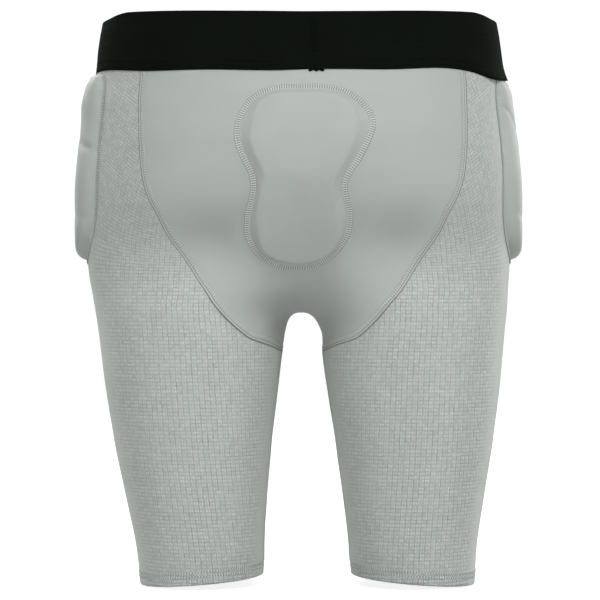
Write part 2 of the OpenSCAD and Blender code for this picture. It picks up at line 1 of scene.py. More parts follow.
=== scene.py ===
# Close-fitting knit shorts with a black elastic waistband, mesh legs and five sewn-on foam pads:
# one at the tailbone, one on each hip and one on the front of each thigh.
# +X is the wearer's left, +Y the back, +Z up; the waist rim lies at z = 0.
# Shapes are worked out in millimetres and turned into metres when a mesh is made.
import math
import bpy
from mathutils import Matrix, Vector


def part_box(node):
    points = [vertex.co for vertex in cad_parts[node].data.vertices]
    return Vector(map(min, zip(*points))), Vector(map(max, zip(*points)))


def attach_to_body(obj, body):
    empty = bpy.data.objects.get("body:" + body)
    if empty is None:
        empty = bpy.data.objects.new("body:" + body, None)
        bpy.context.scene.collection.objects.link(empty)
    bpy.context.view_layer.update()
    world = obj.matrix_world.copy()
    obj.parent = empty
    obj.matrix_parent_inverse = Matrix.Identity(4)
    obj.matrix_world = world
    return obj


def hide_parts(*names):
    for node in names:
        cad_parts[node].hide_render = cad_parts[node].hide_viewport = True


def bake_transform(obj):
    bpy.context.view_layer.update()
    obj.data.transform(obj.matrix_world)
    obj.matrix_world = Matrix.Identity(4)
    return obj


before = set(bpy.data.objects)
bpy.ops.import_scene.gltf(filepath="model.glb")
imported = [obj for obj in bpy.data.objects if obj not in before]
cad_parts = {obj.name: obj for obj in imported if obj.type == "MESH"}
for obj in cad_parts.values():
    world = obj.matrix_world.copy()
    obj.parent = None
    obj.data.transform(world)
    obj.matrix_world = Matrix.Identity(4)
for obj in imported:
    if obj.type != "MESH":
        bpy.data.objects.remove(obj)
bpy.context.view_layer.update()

from types import SimpleNamespace

import bmesh
import bpy
import numpy as np
from mathutils import Matrix, Vector, noise
from mathutils.kdtree import KDTree

MM = 0.001
TAU = 2 * math.pi
SIDE = {1: "left", -1: "right"}

# ---------------------------------------------------------------- driving sizes, mm
RISE = 247.0                         # waist rim to crotch
TABLE_RISE, TABLE_INSEAM = 247, 229  # the lengths the station tables are written for
HEM_TILT = 8.0                       # drop of the hem across HEM_SPAN, outwards
HEM_MID, HEM_SPAN = 90, 104
HEM_CLEARANCE = 1.4
TABLE_HALF_WIDTH = 179.0
INSEAM = -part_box("hem_left")[0][2] * 1000 - RISE - HEM_TILT * 0.5 - HEM_CLEARANCE
WIDTH_SCALE = (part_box("side_panel_left")[1][0] * 1000) / TABLE_HALF_WIDTH
WIDTH_SCALE = WIDTH_SCALE if abs(WIDTH_SCALE - 1) < 0.1 else 1.0
BAND_H = min(48, max(44, round(-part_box("waistband_elastic")[0][2] * 1000)))
TOP_Z = -BAND_H + 7.5                # upper edge of the cloth, under the waistband
PANEL_LIFT = 11.0                    # the leg panel ends this far above the hem
FABRIC = 1.2


# ---------------------------------------------------------------- station tables
def pchip(x, y, query):
    """Shape-preserving cubic through the points (x, y)."""
    x = np.asarray(x, float)
    y = np.asarray(y, float)
    step = np.diff(x)
    slope = np.diff(y) / step
    tangent = np.zeros(len(y))
    tangent[0] = slope[0]
    tangent[-1] = slope[-1]
    for i in range(1, len(y) - 1):
        before, after = step[i - 1], step[i]
        if slope[i - 1] * slope[i] > 0:
            tangent[i] = 3 * (before + after) / ((2 * after + before) / slope[i - 1]
                                                 + (after + 2 * before) / slope[i])
    query = np.clip(query, x[0], x[-1])
    i = np.clip(np.searchsorted(x, query, side="right") - 1, 0, len(x) - 2)
    t = (query - x[i]) / step[i]
    u = 1 - t
    return ((1 + 2 * t) * u * u * y[i] + t * u * u * step[i] * tangent[i]
            + t * t * (3 - 2 * t) * y[i + 1] - t * t * u * step[i] * tangent[i + 1])


class Table:
    """Smooth function of height from (z, value) stations."""

    def __init__(self, rows):
        rows = sorted(rows)
        self.z = np.linspace(rows[0][0], rows[-1][0], 3000)
        self.value = pchip([r[0] for r in rows], [r[1] for r in rows], self.z)

    def __call__(self, z):
        return np.interp(z, self.z, self.value)


# Garment sections: (z, mm).
HALF_WIDTH = Table([
    (0, 166), (-14, 168.5), (-34, 171), (-60, 174), (-110, 177.5), (-160, 179), (-200, 179),
    (-232, 176.5), (-272, 171.5), (-321, 165.8), (-364, 159.5), (-406, 151.7), (-449, 144.5),
    (-481, 141.5)])
HIPS_BACK = Table([
    (0, 96), (-40, 103), (-80, 114), (-110, 120.5), (-130, 121.5), (-150, 117.5), (-170, 109.5),
    (-190, 101), (-210, 95.5), (-230, 92.5), (-250, 91)])
HIPS_FRONT = Table([
    (0, 97), (-40, 101), (-90, 105), (-140, 106), (-190, 103), (-220, 99), (-250, 95)])
LEG_GAP = Table([                    # centre line to the inner side of the leg
    (-100, 0), (-160, 0), (-200, 4), (-232, 12), (-252, 15), (-274, 17), (-321, 22.5),
    (-364, 28), (-406, 33), (-449, 36), (-481, 38)])
LEG_BACK = Table([
    (-100, 119), (-150, 116), (-180, 105), (-205, 96), (-232, 91.5), (-252, 89.5), (-274, 87.5),
    (-321, 82), (-364, 76.5), (-406, 71.5), (-449, 67), (-481, 64)])
LEG_FRONT = Table([
    (-100, 103), (-160, 104), (-200, 101), (-232, 97), (-252, 94), (-274, 91), (-321, 85),
    (-364, 78), (-406, 71), (-449, 65), (-481, 62)])
# (z, share): 0 is all hips, 1 is two separate legs.
SPLIT = Table([
    (-60, 0), (-120, 0.04), (-150, 0.12), (-180, 0.2), (-205, 0.32), (-220, 0.45), (-232, 0.6),
    (-240, 0.745), (-244, 0.825), (-247, 0.9), (-254, 0.96), (-265, 1)])
FIELD_SCALE, FILLET = 95.0, 26.0

# The garment hangs a little to one side: (z, mm towards -X).
HANG = Table([
    (-490, 5.9), (-470, 5.7), (-440, 4.9), (-372, 3.0), (-304, 1.7), (-250, 0.8), (-210, -1.2),
    (-180, -1.5), (-75, -1.5), (-50, 0), (0, 0)])
# The back is pulled sideways as well: (z, mm towards -X).
TWIST = Table([
    (-490, 0), (-300, 0), (-264, 0.6), (-242, 0.8), (-226, 3.0), (-200, 3.5), (-156, 3.4),
    (-130, 3.9), (-84, 3.7), (-60, 2.8), (-40, 1.6), (-15, 0), (0, 0)])
# Seams between the centre panels and the leg panel: (z, x).
SEAT_LINE = Table([
    (-30, 131.5), (-50, 132), (-81, 133), (-94, 133), (-113.5, 132.3), (-133, 130.2),
    (-150.5, 125), (-164.5, 117.5), (-181.5, 110.3), (-205.4, 94), (-229, 77.5), (-256, 54.3),
    (-270.5, 36.4), (-278.5, 17.6)])
FRONT_LINE = Table([
    (-30, 84), (-90, 86), (-130, 84), (-165, 76), (-195, 62), (-222, 46), (-245, 33), (-265, 22),
    (-279, 17.5)])


# ---------------------------------------------------------------- the garment's surface
def smooth01(t):
    t = np.clip(t, 0, 1)
    return t * t * (3 - 2 * t)


def unit(vectors):
    return vectors / np.linalg.norm(vectors, axis=-1, keepdims=True)


def table_z(z):
    """Height in the station tables for a height on the garment."""
    return np.where(z > -RISE, z * TABLE_RISE / RISE,
                    -TABLE_RISE + (z + RISE) * TABLE_INSEAM / INSEAM)


def smooth_min(a, b, radius):
    h = np.clip(0.5 + 0.5 * (b - a) / radius, 0, 1)
    return b * (1 - h) + a * h - radius * h * (1 - h)


def oval(x, y, power):
    return FIELD_SCALE * ((np.abs(x) ** power + np.abs(y) ** power + 1e-12) ** (1 / power) - 1)


def field(x, y, z):
    """Negative inside the garment, zero on its surface."""
    station = table_z(z)
    x = x / WIDTH_SCALE
    outer, inner, split = HALF_WIDTH(station), LEG_GAP(station), SPLIT(station)
    hips = oval(x / outer, y / np.where(y > 0, HIPS_BACK(station), HIPS_FRONT(station)), 2.3)
    centre = (outer + inner) / 2
    half = (outer - inner) / 2
    depth = y / np.where(y > 0, LEG_BACK(station), LEG_FRONT(station))
    left = oval((x - centre) / half, depth, 2.1)
    right = oval((x + centre) / half, depth, 2.1)
    return (1 - split) * hips + split * smooth_min(left, right, FILLET)


def gradient(points, e=0.5):
    x, y, z = points[..., 0], points[..., 1], points[..., 2]
    return np.stack([field(x + e, y, z) - field(x - e, y, z),
                     field(x, y + e, z) - field(x, y - e, z),
                     field(x, y, z + e) - field(x, y, z - e)], -1) / (2 * e)


def normals(points):
    return unit(gradient(points))


def project(points, passes):
    """Moves points onto the surface along the gradient, at most 12 mm a pass."""
    for _ in range(passes):
        g = gradient(points)
        value = field(points[..., 0], points[..., 1], points[..., 2])
        step = g * (value / np.maximum((g * g).sum(-1), 0.05))[..., None]
        length = np.linalg.norm(step, axis=-1, keepdims=True)
        points = points - step * np.minimum(1, 12 / np.maximum(length, 1e-9))
    return points


def cast(start, direction, reach):
    """The point where a ray from inside the garment leaves its surface."""
    near = np.zeros(start.shape[:-1])
    far = np.broadcast_to(np.asarray(reach, float), near.shape).copy()
    for _ in range(26):
        middle = (near + far) / 2
        point = start + direction * middle[..., None]
        inside = field(point[..., 0], point[..., 1], point[..., 2]) < 0
        near = np.where(inside, middle, near)
        far = np.where(inside, far, middle)
    return start + direction * ((near + far) / 2)[..., None]


def vec(*parts):
    return np.stack(np.broadcast_arrays(*[np.asarray(part, float) for part in parts]), -1)


def on_back(x, z):
    return cast(vec(x, 0.0, z), vec(0.0, 1.0, 0.0), 150)


def on_front(x, z):
    return cast(vec(x, 0.0, z), vec(0.0, -1.0, 0.0), 150)


def leg_centre(z):
    station = table_z(z)
    return (HALF_WIDTH(station) + LEG_GAP(station)) / 2 * WIDTH_SCALE


def on_side(y, z):
    return cast(vec(leg_centre(np.asarray(z, float)), y, z), vec(1.0, 0.0, 0.0), 150)


def on_leg(degrees, z):
    """Round the left leg's centre: 0 inner, 90 back, 180 outer, 270 front."""
    angle, z = np.broadcast_arrays(np.radians(np.asarray(degrees, float)), np.asarray(z, float))
    centre = leg_centre(z)
    inward = np.cos(angle)
    reach = np.where(inward > 0.05, np.minimum(190, centre / np.maximum(inward, 0.05)), 190)
    return cast(vec(centre, 0.0, z), vec(-inward, np.sin(angle), 0.0), reach)


def leg_angle(points):
    return np.degrees(np.arctan2(points[..., 1],
                                 leg_centre(points[..., 2]) - points[..., 0])) % 360


def hem_z(x, lift):
    return -RISE - INSEAM + lift - HEM_TILT * (x - HEM_MID * WIDTH_SCALE) / (HEM_SPAN * WIDTH_SCALE)


# ---------------------------------------------------------------- curves and grids
def arc_lengths(curve):
    return np.concatenate([[0], np.cumsum(np.linalg.norm(np.diff(curve, axis=0), axis=1))])


def at_lengths(query, lengths, curve):
    return np.stack([np.interp(query, lengths, curve[:, k]) for k in range(curve.shape[1])], 1)


def resample(curve, n=None, spacing=None, closed=False):
    curve = np.asarray(curve, float)
    if closed:
        curve = np.vstack([curve, curve[:1]])
    lengths = arc_lengths(curve)
    if n is None:
        n = max(2, int(round(lengths[-1] / spacing)) + 1)
    out = at_lengths(np.linspace(0, lengths[-1], n), lengths, curve)
    return out[:-1] if closed else out


def smooth_curve(curve, passes, closed=False):
    curve = curve.copy()
    for _ in range(passes):
        if closed:
            curve = 0.5 * curve + 0.25 * (np.roll(curve, 1, 0) + np.roll(curve, -1, 0))
        else:
            curve[1:-1] = 0.5 * curve[1:-1] + 0.25 * (curve[:-2] + curve[2:])
    return curve


def closed_spline(points, n=600):
    """Catmull-Rom loop through the points."""
    points = np.asarray(points, float)
    count = len(points)
    padded = np.vstack([points[-1:], points, points[:2]])
    out = []
    for i in range(count):
        p0, p1, p2, p3 = padded[i:i + 4]
        for t in np.linspace(0, 1, max(2, n // count), endpoint=False):
            out.append(0.5 * (2 * p1 + (p2 - p0) * t + (2 * p0 - 5 * p1 + 4 * p2 - p3) * t * t
                              + (3 * p1 - p0 - 3 * p2 + p3) * t ** 3))
    return np.array(out)


def relax(grid, passes, keep_on_surface=True):
    """Evens out a grid inside its fixed border."""
    grid = grid.copy()
    for _ in range(passes):
        mean = 0.25 * (grid[:-2, 1:-1] + grid[2:, 1:-1] + grid[1:-1, :-2] + grid[1:-1, 2:])
        grid[1:-1, 1:-1] = project(mean, 1) if keep_on_surface else mean
    if keep_on_surface:
        grid[1:-1, 1:-1] = project(grid[1:-1, 1:-1], 3)
    return grid


def soften(grid):
    """Eases the crease where the legs leave the seat, and nothing else."""
    weight = (np.exp(-((grid[..., 2] + 245) / 24) ** 2)
              * (1 - smooth01((np.abs(grid[..., 0]) - 60) / 50)))
    return grid + (relax(grid, 16, keep_on_surface=False) - grid) * weight[..., None]


def blur(grid):
    """Two light smoothing passes inside a fixed border."""
    for _ in range(2):
        out = grid.copy()
        out[1:-1, 1:-1] = 0.5 * grid[1:-1, 1:-1] + 0.125 * (
            grid[:-2, 1:-1] + grid[2:, 1:-1] + grid[1:-1, :-2] + grid[1:-1, 2:])
        grid = out
    return grid


def sided(points, side):
    """Points of the left side (+1), or mirrored to the right (-1)."""
    out = points.copy()
    out[..., 0] *= side
    return out


# ---------------------------------------------------------------- meshes
MATERIALS = {}
PIECES = []


def drift(points):
    """Hangs the finished garment a little off centre."""
    points = np.array(points, float)
    x, y, z = points[..., 0], points[..., 1], points[..., 2]
    crotch = 1.6 * np.exp(-((z + 265) / 12) ** 2 - (x / 42) ** 2)
    points[..., 0] -= HANG(z) + TWIST(z) * smooth01((y - 25) / 55) + crotch
    return points


def make_object(name, verts, faces, uvs, material):
    mesh = bpy.data.meshes.new(name)
    mesh.from_pydata((drift(verts) * MM).tolist(), [], [list(map(int, f)) for f in faces])
    mesh.polygons.foreach_set("use_smooth", [True] * len(mesh.polygons))
    layer = mesh.uv_layers.new(name="UVMap")
    index = np.empty(len(mesh.loops), dtype=np.int32)
    mesh.loops.foreach_get("vertex_index", index)
    layer.data.foreach_set("uv", np.asarray(uvs, float)[index].astype(np.float32).ravel())
    mesh.validate()
    mesh.update()
    obj = bpy.data.objects.new(name, mesh)
    bpy.context.scene.collection.objects.link(obj)
    mesh.materials.append(MATERIALS[material])
    PIECES.append(obj)
    return obj


def grid_faces(rows, columns, offset, flip):
    faces = []
    for i in range(rows - 1):
        for j in range(columns - 1):
            a = offset + i * columns + j
            b, c, d = a + 1, a + columns + 1, a + columns
            faces.append((a, b, c, d) if flip else (a, d, c, b))
    return faces


def faces_outward(grid, normal):
    """True when (row direction) x (column direction) points along the normals."""
    down = grid[1:, :-1] - grid[:-1, :-1]
    across = grid[:-1, 1:] - grid[:-1, :-1]
    return float((np.cross(down, across) * normal[:-1, :-1]).sum()) > 0


def shell(name, grid, normal, thickness, material, uv, height=0.0):
    """Closed sheet over a grid: outer face at +height, inner face one thickness below."""
    m, n = grid.shape[:2]
    height = np.broadcast_to(np.asarray(height, float), (m, n))
    verts = np.concatenate([
        (grid + normal * height[..., None]).reshape(-1, 3),
        (grid + normal * (height - thickness)[..., None]).reshape(-1, 3)])
    flip = not faces_outward(grid, normal)
    inner = m * n
    last = (m - 1) * n
    rim = []
    for j in range(n - 1):
        rim += [(j, j + 1), (last + j + 1, last + j)]
    for i in range(m - 1):
        rim += [((i + 1) * n, i * n), (i * n + n - 1, (i + 1) * n + n - 1)]
    faces = grid_faces(m, n, 0, flip) + grid_faces(m, n, inner, not flip)
    for a, b in rim:
        quad = (a, b, inner + b, inner + a)
        faces.append(quad[::-1] if flip else quad)
    obj = make_object(name, verts, faces, np.concatenate([uv.reshape(-1, 2)] * 2), material)
    obj.data.set_sharp_from_angle(angle=math.radians(50))
    return obj


def section_loop(name, section, material, uv, closed=True):
    """Tube from (k, n, 3) points: k round the section, n stations along it."""
    section, uv = np.array(section), np.array(uv)
    k, n = section.shape[:2]
    faces = []
    for i in range(k):
        following = (i + 1) % k
        for j in range(n if closed else n - 1):
            ahead = (j + 1) % n
            faces.append((i * n + j, i * n + ahead, following * n + ahead, following * n + j))
    if not closed:
        faces.append(tuple(i * n for i in range(k)))
        faces.append(tuple(i * n + n - 1 for i in reversed(range(k))))
    obj = make_object(name, section.reshape(-1, 3), faces, uv.reshape(-1, 2), material)
    bm = bmesh.new()
    bm.from_mesh(obj.data)
    bmesh.ops.recalc_face_normals(bm, faces=bm.faces)
    bm.to_mesh(obj.data)
    bm.free()
    obj.data.update()
    return obj


# Stations across a stitching ribbon, as shares of its width.
RIBBON_STATIONS = (-0.5, -0.45, -0.37, -0.27, -0.14, 0, 0.14, 0.27, 0.37, 0.45, 0.5)
SAMPLES_PER_STITCH = 5


def ribbon(name, curve, normal, width, material, pitch, rise, edge, tooth, base=0.0,
           closed=False, flip_v=False, flatlock=False, thin=(0, 0)):
    """Ladder stitching along a curve: two edge threads with teeth between them.

    rise lifts the whole strip, edge its two edge threads and tooth the stitches.
    thin gives the lengths over which the start and the end taper.
    """
    if closed:
        curve = np.vstack([curve, curve[:1]])
        normal = np.vstack([normal, normal[:1]])
    lengths = arc_lengths(curve)
    total = lengths[-1]
    count = max(4, int(round(total / pitch)) * SAMPLES_PER_STITCH)
    along = np.linspace(0, total, count, endpoint=not closed)
    points = at_lengths(along, lengths, curve)
    normal = unit(at_lengths(along, lengths, normal))
    if closed:
        tangent = unit(np.roll(points, -1, 0) - np.roll(points, 1, 0))
    else:
        tangent = unit(np.gradient(points, axis=0))
    across = unit(np.cross(normal, tangent))
    wave = np.cos(TAU * along / pitch)
    taper = np.ones(count)
    if thin[0]:
        taper *= 0.25 + 0.75 * smooth01(along / thin[0])
    if thin[1]:
        taper *= 0.25 + 0.75 * smooth01((total - along) / thin[1])
    section, uv = [], []

    def add_line(u, height):
        section.append(points + across * (u * width) + normal * np.reshape(height, (-1, 1)))
        uv.append(np.stack([along / pitch, np.full(count, 0.5 - u if flip_v else u + 0.5)], 1))

    for u in RIBBON_STATIONS:
        if abs(u) > 0.49:
            add_line(u, base - 0.05)
            continue
        ridge = math.exp(-((abs(u) - 0.37) / 0.09) ** 2)
        if flatlock:
            toothed = 0.05 < (-u if flip_v else u) < 0.4
        else:
            toothed = abs(u) < 0.4
        height = base + rise * 0.35 + edge * ridge * (0.8 + 0.2 * wave)
        add_line(u, (height + tooth * float(toothed) * (0.5 + 0.5 * wave)) * taper)
    for u in (0.46, -0.46):
        add_line(u, base - 0.35)
    return section_loop(name, section, material, uv, closed)


def attach(obj, slot, side, *nodes):
    """Places a piece: side 0 ties it to the pelvis, side 1 or -1 bakes its placement into the mesh;
    the given parts from model.glb are hidden.
    """
    if side:
        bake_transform(obj)
    else:
        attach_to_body(obj, "pelvis")
    if nodes:
        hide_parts(*nodes)


# ---------------------------------------------------------------- shader building
def empty_material(name):
    material = bpy.data.materials.new(name)
    material.use_nodes = True
    material.node_tree.nodes.clear()
    return material


def add_node(tree, kind, **settings):
    node = tree.nodes.new("ShaderNode" + kind)
    for key, value in settings.items():
        setattr(node, key, value)
    return node


def operator(operation, swapped=False):
    def method(self, other):
        pair = (other, self) if swapped else (self, other)
        return self.shader.math(operation, *pair)
    return method


class Value:
    """A shader output; arithmetic on it adds Math nodes."""

    def __init__(self, shader, socket):
        self.shader = shader
        self.socket = socket

    __add__, __radd__ = operator("ADD"), operator("ADD", True)
    __sub__, __rsub__ = operator("SUBTRACT"), operator("SUBTRACT", True)
    __mul__, __truediv__ = operator("MULTIPLY"), operator("DIVIDE")


class Shader:
    """A Principled material under construction; u and v are its UV map in mm."""

    def __init__(self, name):
        MATERIALS[name] = empty_material(name)
        self.tree = MATERIALS[name].node_tree
        output = add_node(self.tree, "OutputMaterial")
        self.bsdf = add_node(self.tree, "BsdfPrincipled")
        self.tree.links.new(self.bsdf.outputs[0], output.inputs[0])

    def feed(self, socket, value):
        if isinstance(value, Value):
            self.tree.links.new(value.socket, socket)
        else:
            socket.default_value = value

    def node(self, kind, inputs, output=0, **settings):
        node = add_node(self.tree, kind, **settings)
        for key, value in inputs.items():
            self.feed(node.inputs[key], value)
        return Value(self, node.outputs[output])

    def math(self, operation, *values, clamp=False):
        return self.node("Math", dict(enumerate(values)), operation=operation, use_clamp=clamp)

    def sine(self, value):
        return self.math("SINE", value)

    def absolute(self, value):
        return self.math("ABSOLUTE", value)

    def uv(self):
        uv = self.node("UVMap", {}, uv_map="UVMap")
        split = add_node(self.tree, "SeparateXYZ")
        self.feed(split.inputs[0], uv)
        return uv, Value(self, split.outputs[0]), Value(self, split.outputs[1])

    def noise(self, vector, scale, detail=2, roughness=0.5):
        return self.node("TexNoise", {"Vector": vector, "Scale": scale, "Detail": detail,
                                      "Roughness": roughness}, "Fac")

    def step(self, value, low, high):
        return self.node("MapRange", {0: value, 1: low, 2: high},
                         interpolation_type="SMOOTHSTEP")

    def cell(self, value, size):
        """Distance from the middle of a repeating cell, 0 to 0.5."""
        return self.absolute(self.math("FRACT", value / size) - 0.5)

    def random(self, u, v, seed):
        """A random number for each whole-number cell."""
        cell = self.node("CombineXYZ", {0: self.math("FLOOR", u), 1: self.math("FLOOR", v),
                                        2: seed})
        return self.node("TexWhiteNoise", {"Vector": cell}, "Value", noise_dimensions="3D")

    def stitch_wave(self, u):
        """1 on each stitch, 0 between two."""
        return 0.5 + self.math("COSINE", u * TAU) * 0.5

    def scaled(self, color, factor):
        return self.node("VectorMath", {0: color, "Scale": factor}, operation="SCALE")

    def mix(self, factor, first, second):
        first, second = [c if isinstance(c, Value) else (*c, 1) for c in (first, second)]
        return self.node("Mix", {"Factor": factor, 6: first, 7: second}, 2, data_type="RGBA")

    def bump(self, height, strength, distance=0.001):
        normal = self.node("Bump", {"Distance": distance, "Strength": strength,
                                    "Height": height})
        self.feed(self.bsdf.inputs["Normal"], normal)

    def finish(self, color, roughness, sheen, specular, sheen_roughness=0.5):
        for key, value in {"Base Color": color, "Roughness": roughness,
                           "Specular IOR Level": specular, "Sheen Weight": sheen,
                           "Sheen Roughness": sheen_roughness}.items():
            self.feed(self.bsdf.inputs[key], value)


# ---------------------------------------------------------------- materials
GREY = (0.395, 0.425, 0.398)
MESH_GREY = (0.435, 0.466, 0.438)
BLACK = (0.0038, 0.0056, 0.0038)
FOAM_WHITE = (0.72, 0.72, 0.68)
LABEL_WHITE = (0.8, 0.8, 0.78)
RIB, COURSE = 0.8, 0.6                    # smooth knit, mm
BLOCK_U, BLOCK_V = 4.5, 3.1               # grid knit, mm
ELASTIC_RIB, ELASTIC_COURSE = 1.9, 1.1    # waistband, mm


def smooth_knit(name):
    """Smooth stretch knit: fine ribs, a soft sheen and a slow change of tone."""
    k = Shader(name)
    uv, u, v = k.uv()
    ribs = k.sine(u * (TAU / RIB))
    courses = k.sine(v * (TAU / COURSE))
    slow = k.noise(uv, scale=0.025)
    fine = k.noise(uv, scale=1.3)
    tone = 0.93 + slow * 0.14 + (fine - 0.5) * 0.05 + ribs * 0.012
    k.bump(ribs * 0.022 + courses * 0.012 + fine * 0.03, strength=0.7)
    k.finish(k.scaled(GREY, tone), roughness=0.5 + fine * 0.14, sheen=0.22, specular=0.32,
             sheen_roughness=0.45)


def grid_knit(name):
    """Grid knit: raised blocks between darker sunk lines, each stitch a little different."""
    k = Shader(name)
    uv, u, v = k.uv()
    # uneven spacing
    u = u + (k.noise(uv, scale=0.22, detail=1) - 0.5) * 1.1
    v = v + (k.noise(uv, scale=0.31, detail=1) - 0.5) * 0.9
    block_u, block_v = u / BLOCK_U, v / BLOCK_V
    # sunk lines of varied depth
    from_u, from_v = k.cell(u, BLOCK_U), k.cell(v, BLOCK_V)
    line_u = k.step(from_u, 0.34, 0.48) * (0.3 + k.random(block_u + 0.5, block_v, 1.0) * 0.9)
    line_v = k.step(from_v, 0.28, 0.48) * (0.25 + k.random(block_u, block_v + 0.5, 2.0) * 0.65)
    line = k.math("MAXIMUM", line_u, line_v)
    # light knots: two to a block, some missing
    knot_u = k.cell(u, BLOCK_U / 2)
    radius = k.math("SQRT", knot_u * knot_u + from_v * from_v)
    present = k.step(k.random(block_u * 2.0, block_v, 3.0), 0.15, 1.0)
    knot = (1.0 - k.step(radius, 0.08, 0.42)) * present
    block_tone = k.random(block_u, block_v, 4.0) - 0.5
    patch = 0.5 + k.noise(uv, scale=0.05)
    fine = k.noise(uv, scale=1.9)
    slow = k.noise(uv, scale=0.018)
    # seen edge-on, the sunk lines close up
    facing = k.node("LayerWeight", {0: 0.5}, "Facing")
    openness = 1.0 - k.step(facing, 0.45, 0.78) * 0.85
    line = line * openness
    knot = knot * openness
    tone = (0.985 - line * patch * 0.25 + knot * patch * 0.28 + block_tone * openness * 0.1
            + (fine - 0.5) * 0.18 + (slow - 0.5) * 0.08)
    # painted sheen: the colour is lightened by up to 22% where the cloth turns away from the view,
    # brightening the shaded edges of the legs
    tone = tone * (1.0 + k.step(facing, 0.3, 0.8) * 0.22)
    k.bump(line * -0.28 + knot * 0.22 + fine * 0.1, strength=0.9)
    k.finish(k.scaled(MESH_GREY, tone), roughness=0.85, sheen=0.15, specular=0.15,
             sheen_roughness=0.6)


def elastic(name):
    """Black elastic webbing: lengthways ribs crossed by tiny courses."""
    k = Shader(name)
    uv, u, v = k.uv()
    rib = k.sine(v * (TAU / ELASTIC_RIB))
    course = k.sine(u * (TAU / ELASTIC_COURSE) + v * 2.2)
    fine = k.noise(uv, scale=1.6)
    slow = k.noise(uv, scale=0.02)
    k.bump(rib * 0.09 + course * 0.05 + fine * 0.08, strength=0.8)
    tone = 0.75 + slow * 0.3 + rib * course * 0.12 + (fine - 0.5) * 0.5
    k.finish(k.scaled(BLACK, tone), roughness=0.9, sheen=0.0, specular=0.05)


def finish_thread(k, u, v, color, dull=False):
    """Twisted yarn; here u counts stitches and v runs 0 to 1 across the row."""
    k.bump(k.sine(u * 25.0 + v * 30.0) * 0.05, strength=0.8)
    if dull:
        k.finish(color, roughness=0.95, sheen=0.0, specular=0.03)
    else:
        k.finish(color, roughness=0.7, sheen=0.1, specular=0.2)


def ladder_thread(name, light, painted_shade, dull=False):
    """Ladder stitching: light thread bars with painted shade in the gaps between them, and a thin
    line of painted shade along each edge.
    """
    k = Shader(name)
    uv, u, v = k.uv()
    bar = k.step(k.stitch_wave(u), 0.25, 0.6)
    off_centre = k.absolute(v - 0.5)
    line = 1.0 - k.step(k.absolute(off_centre - 0.3), 0.02, 0.09)
    bright = k.math("MAXIMUM", bar, line * 0.55)
    # painted shade towards the strip's edges
    bright = bright * (1.0 - k.step(off_centre, 0.38, 0.46) * 0.6)
    bright = k.math("MULTIPLY", bright, 0.72 + k.noise(uv, scale=1.7) * 0.5, clamp=True)
    # the gaps between the bars take the painted shade colour
    finish_thread(k, u, v, k.mix(bright, painted_shade, light), dull)


def flatlock_thread(name, light, cloth, painted_shade):
    """Flatlock seam: sunk line and smooth strip on one side, a column of loops on the other; the
    sunk lines and the gaps between the loops are painted shade.
    """
    k = Shader(name)
    uv, u, v = k.uv()
    wave = k.stitch_wave(u)
    varied = k.noise(uv, scale=1.4)

    def near(centre, full, gone):
        """1 within `full` of a line across the seam, 0 beyond `gone`."""
        return 1.0 - k.step(k.absolute(v - centre), full, gone)

    loops = k.math("MULTIPLY", k.step(wave, 0.25, 0.75) * near(0.71, 0.14, 0.24),
                   0.45 + varied * 0.9, clamp=True)
    # painted shade in the gaps between the loops
    gaps = (1.0 - k.step(wave, 0.1, 0.5)) * near(0.71, 0.12, 0.22) * 0.3
    # painted shade in the sunk lines
    sunk = k.math("MAXIMUM", near(0.09, 0.07, 0.14) * (0.35 + varied * 0.8),
                  near(0.46, 0.02, 0.09) * 0.6)
    sunk = k.math("MAXIMUM", sunk, gaps, clamp=True)
    strip = near(0.28, 0.05, 0.13) * 0.35
    raised_color = k.mix(k.math("MAXIMUM", loops, strip), cloth, light)
    finish_thread(k, u, v, k.mix(sunk, raised_color, painted_shade))


def foam(name):
    k = Shader(name)
    place = k.node("TexCoord", {}, "Object")
    cells = k.noise(place, scale=900.0, detail=3, roughness=0.7)
    slow = k.noise(place, scale=30.0)
    k.bump(cells, strength=0.8, distance=0.0003)
    k.finish(k.scaled(FOAM_WHITE, 0.9 + slow * 0.14), roughness=0.9, sheen=0.0, specular=0.2)


def label_weave(name):
    k = Shader(name)
    uv, u, v = k.uv()
    k.bump(k.sine(u * 9.0) * k.sine(v * 14.0) * 0.03, strength=0.6)
    cloudy = k.step(k.noise(uv, scale=0.2, detail=1), 0.3, 0.8)
    k.finish(k.scaled(LABEL_WHITE, 0.94 + cloudy * 0.06), roughness=0.42, sheen=0.1,
             specular=0.4)


smooth_knit("seat_fabric")
smooth_knit("pad_cover")
grid_knit("mesh_fabric")
elastic("elastic_black")
# the last colour of each thread is painted shade for the gaps and sunk lines of its stitching
ladder_thread("grey_thread", light=(0.57, 0.605, 0.575), painted_shade=(0.235, 0.255, 0.24))
flatlock_thread("seam_thread", light=(0.56, 0.595, 0.565), cloth=(0.385, 0.415, 0.39),
                painted_shade=(0.165, 0.18, 0.17))
ladder_thread("band_thread", light=(0.0045, 0.0064, 0.0045), painted_shade=(0.003, 0.0044, 0.003),
              dull=True)
foam("foam")
label_weave("label")

# ---------------------------------------------------------------- panel grids, left side
COLUMNS = 168                        # round the leg
ROWS_NOTCH, ROWS_BELOW = 104, 66     # leg rows beside the centre panels and below them
CENTRE_COLUMNS = 60
SEAM_POINTS = 500
CROTCH_FROM = -205.0                 # the centre line turns under the crotch here


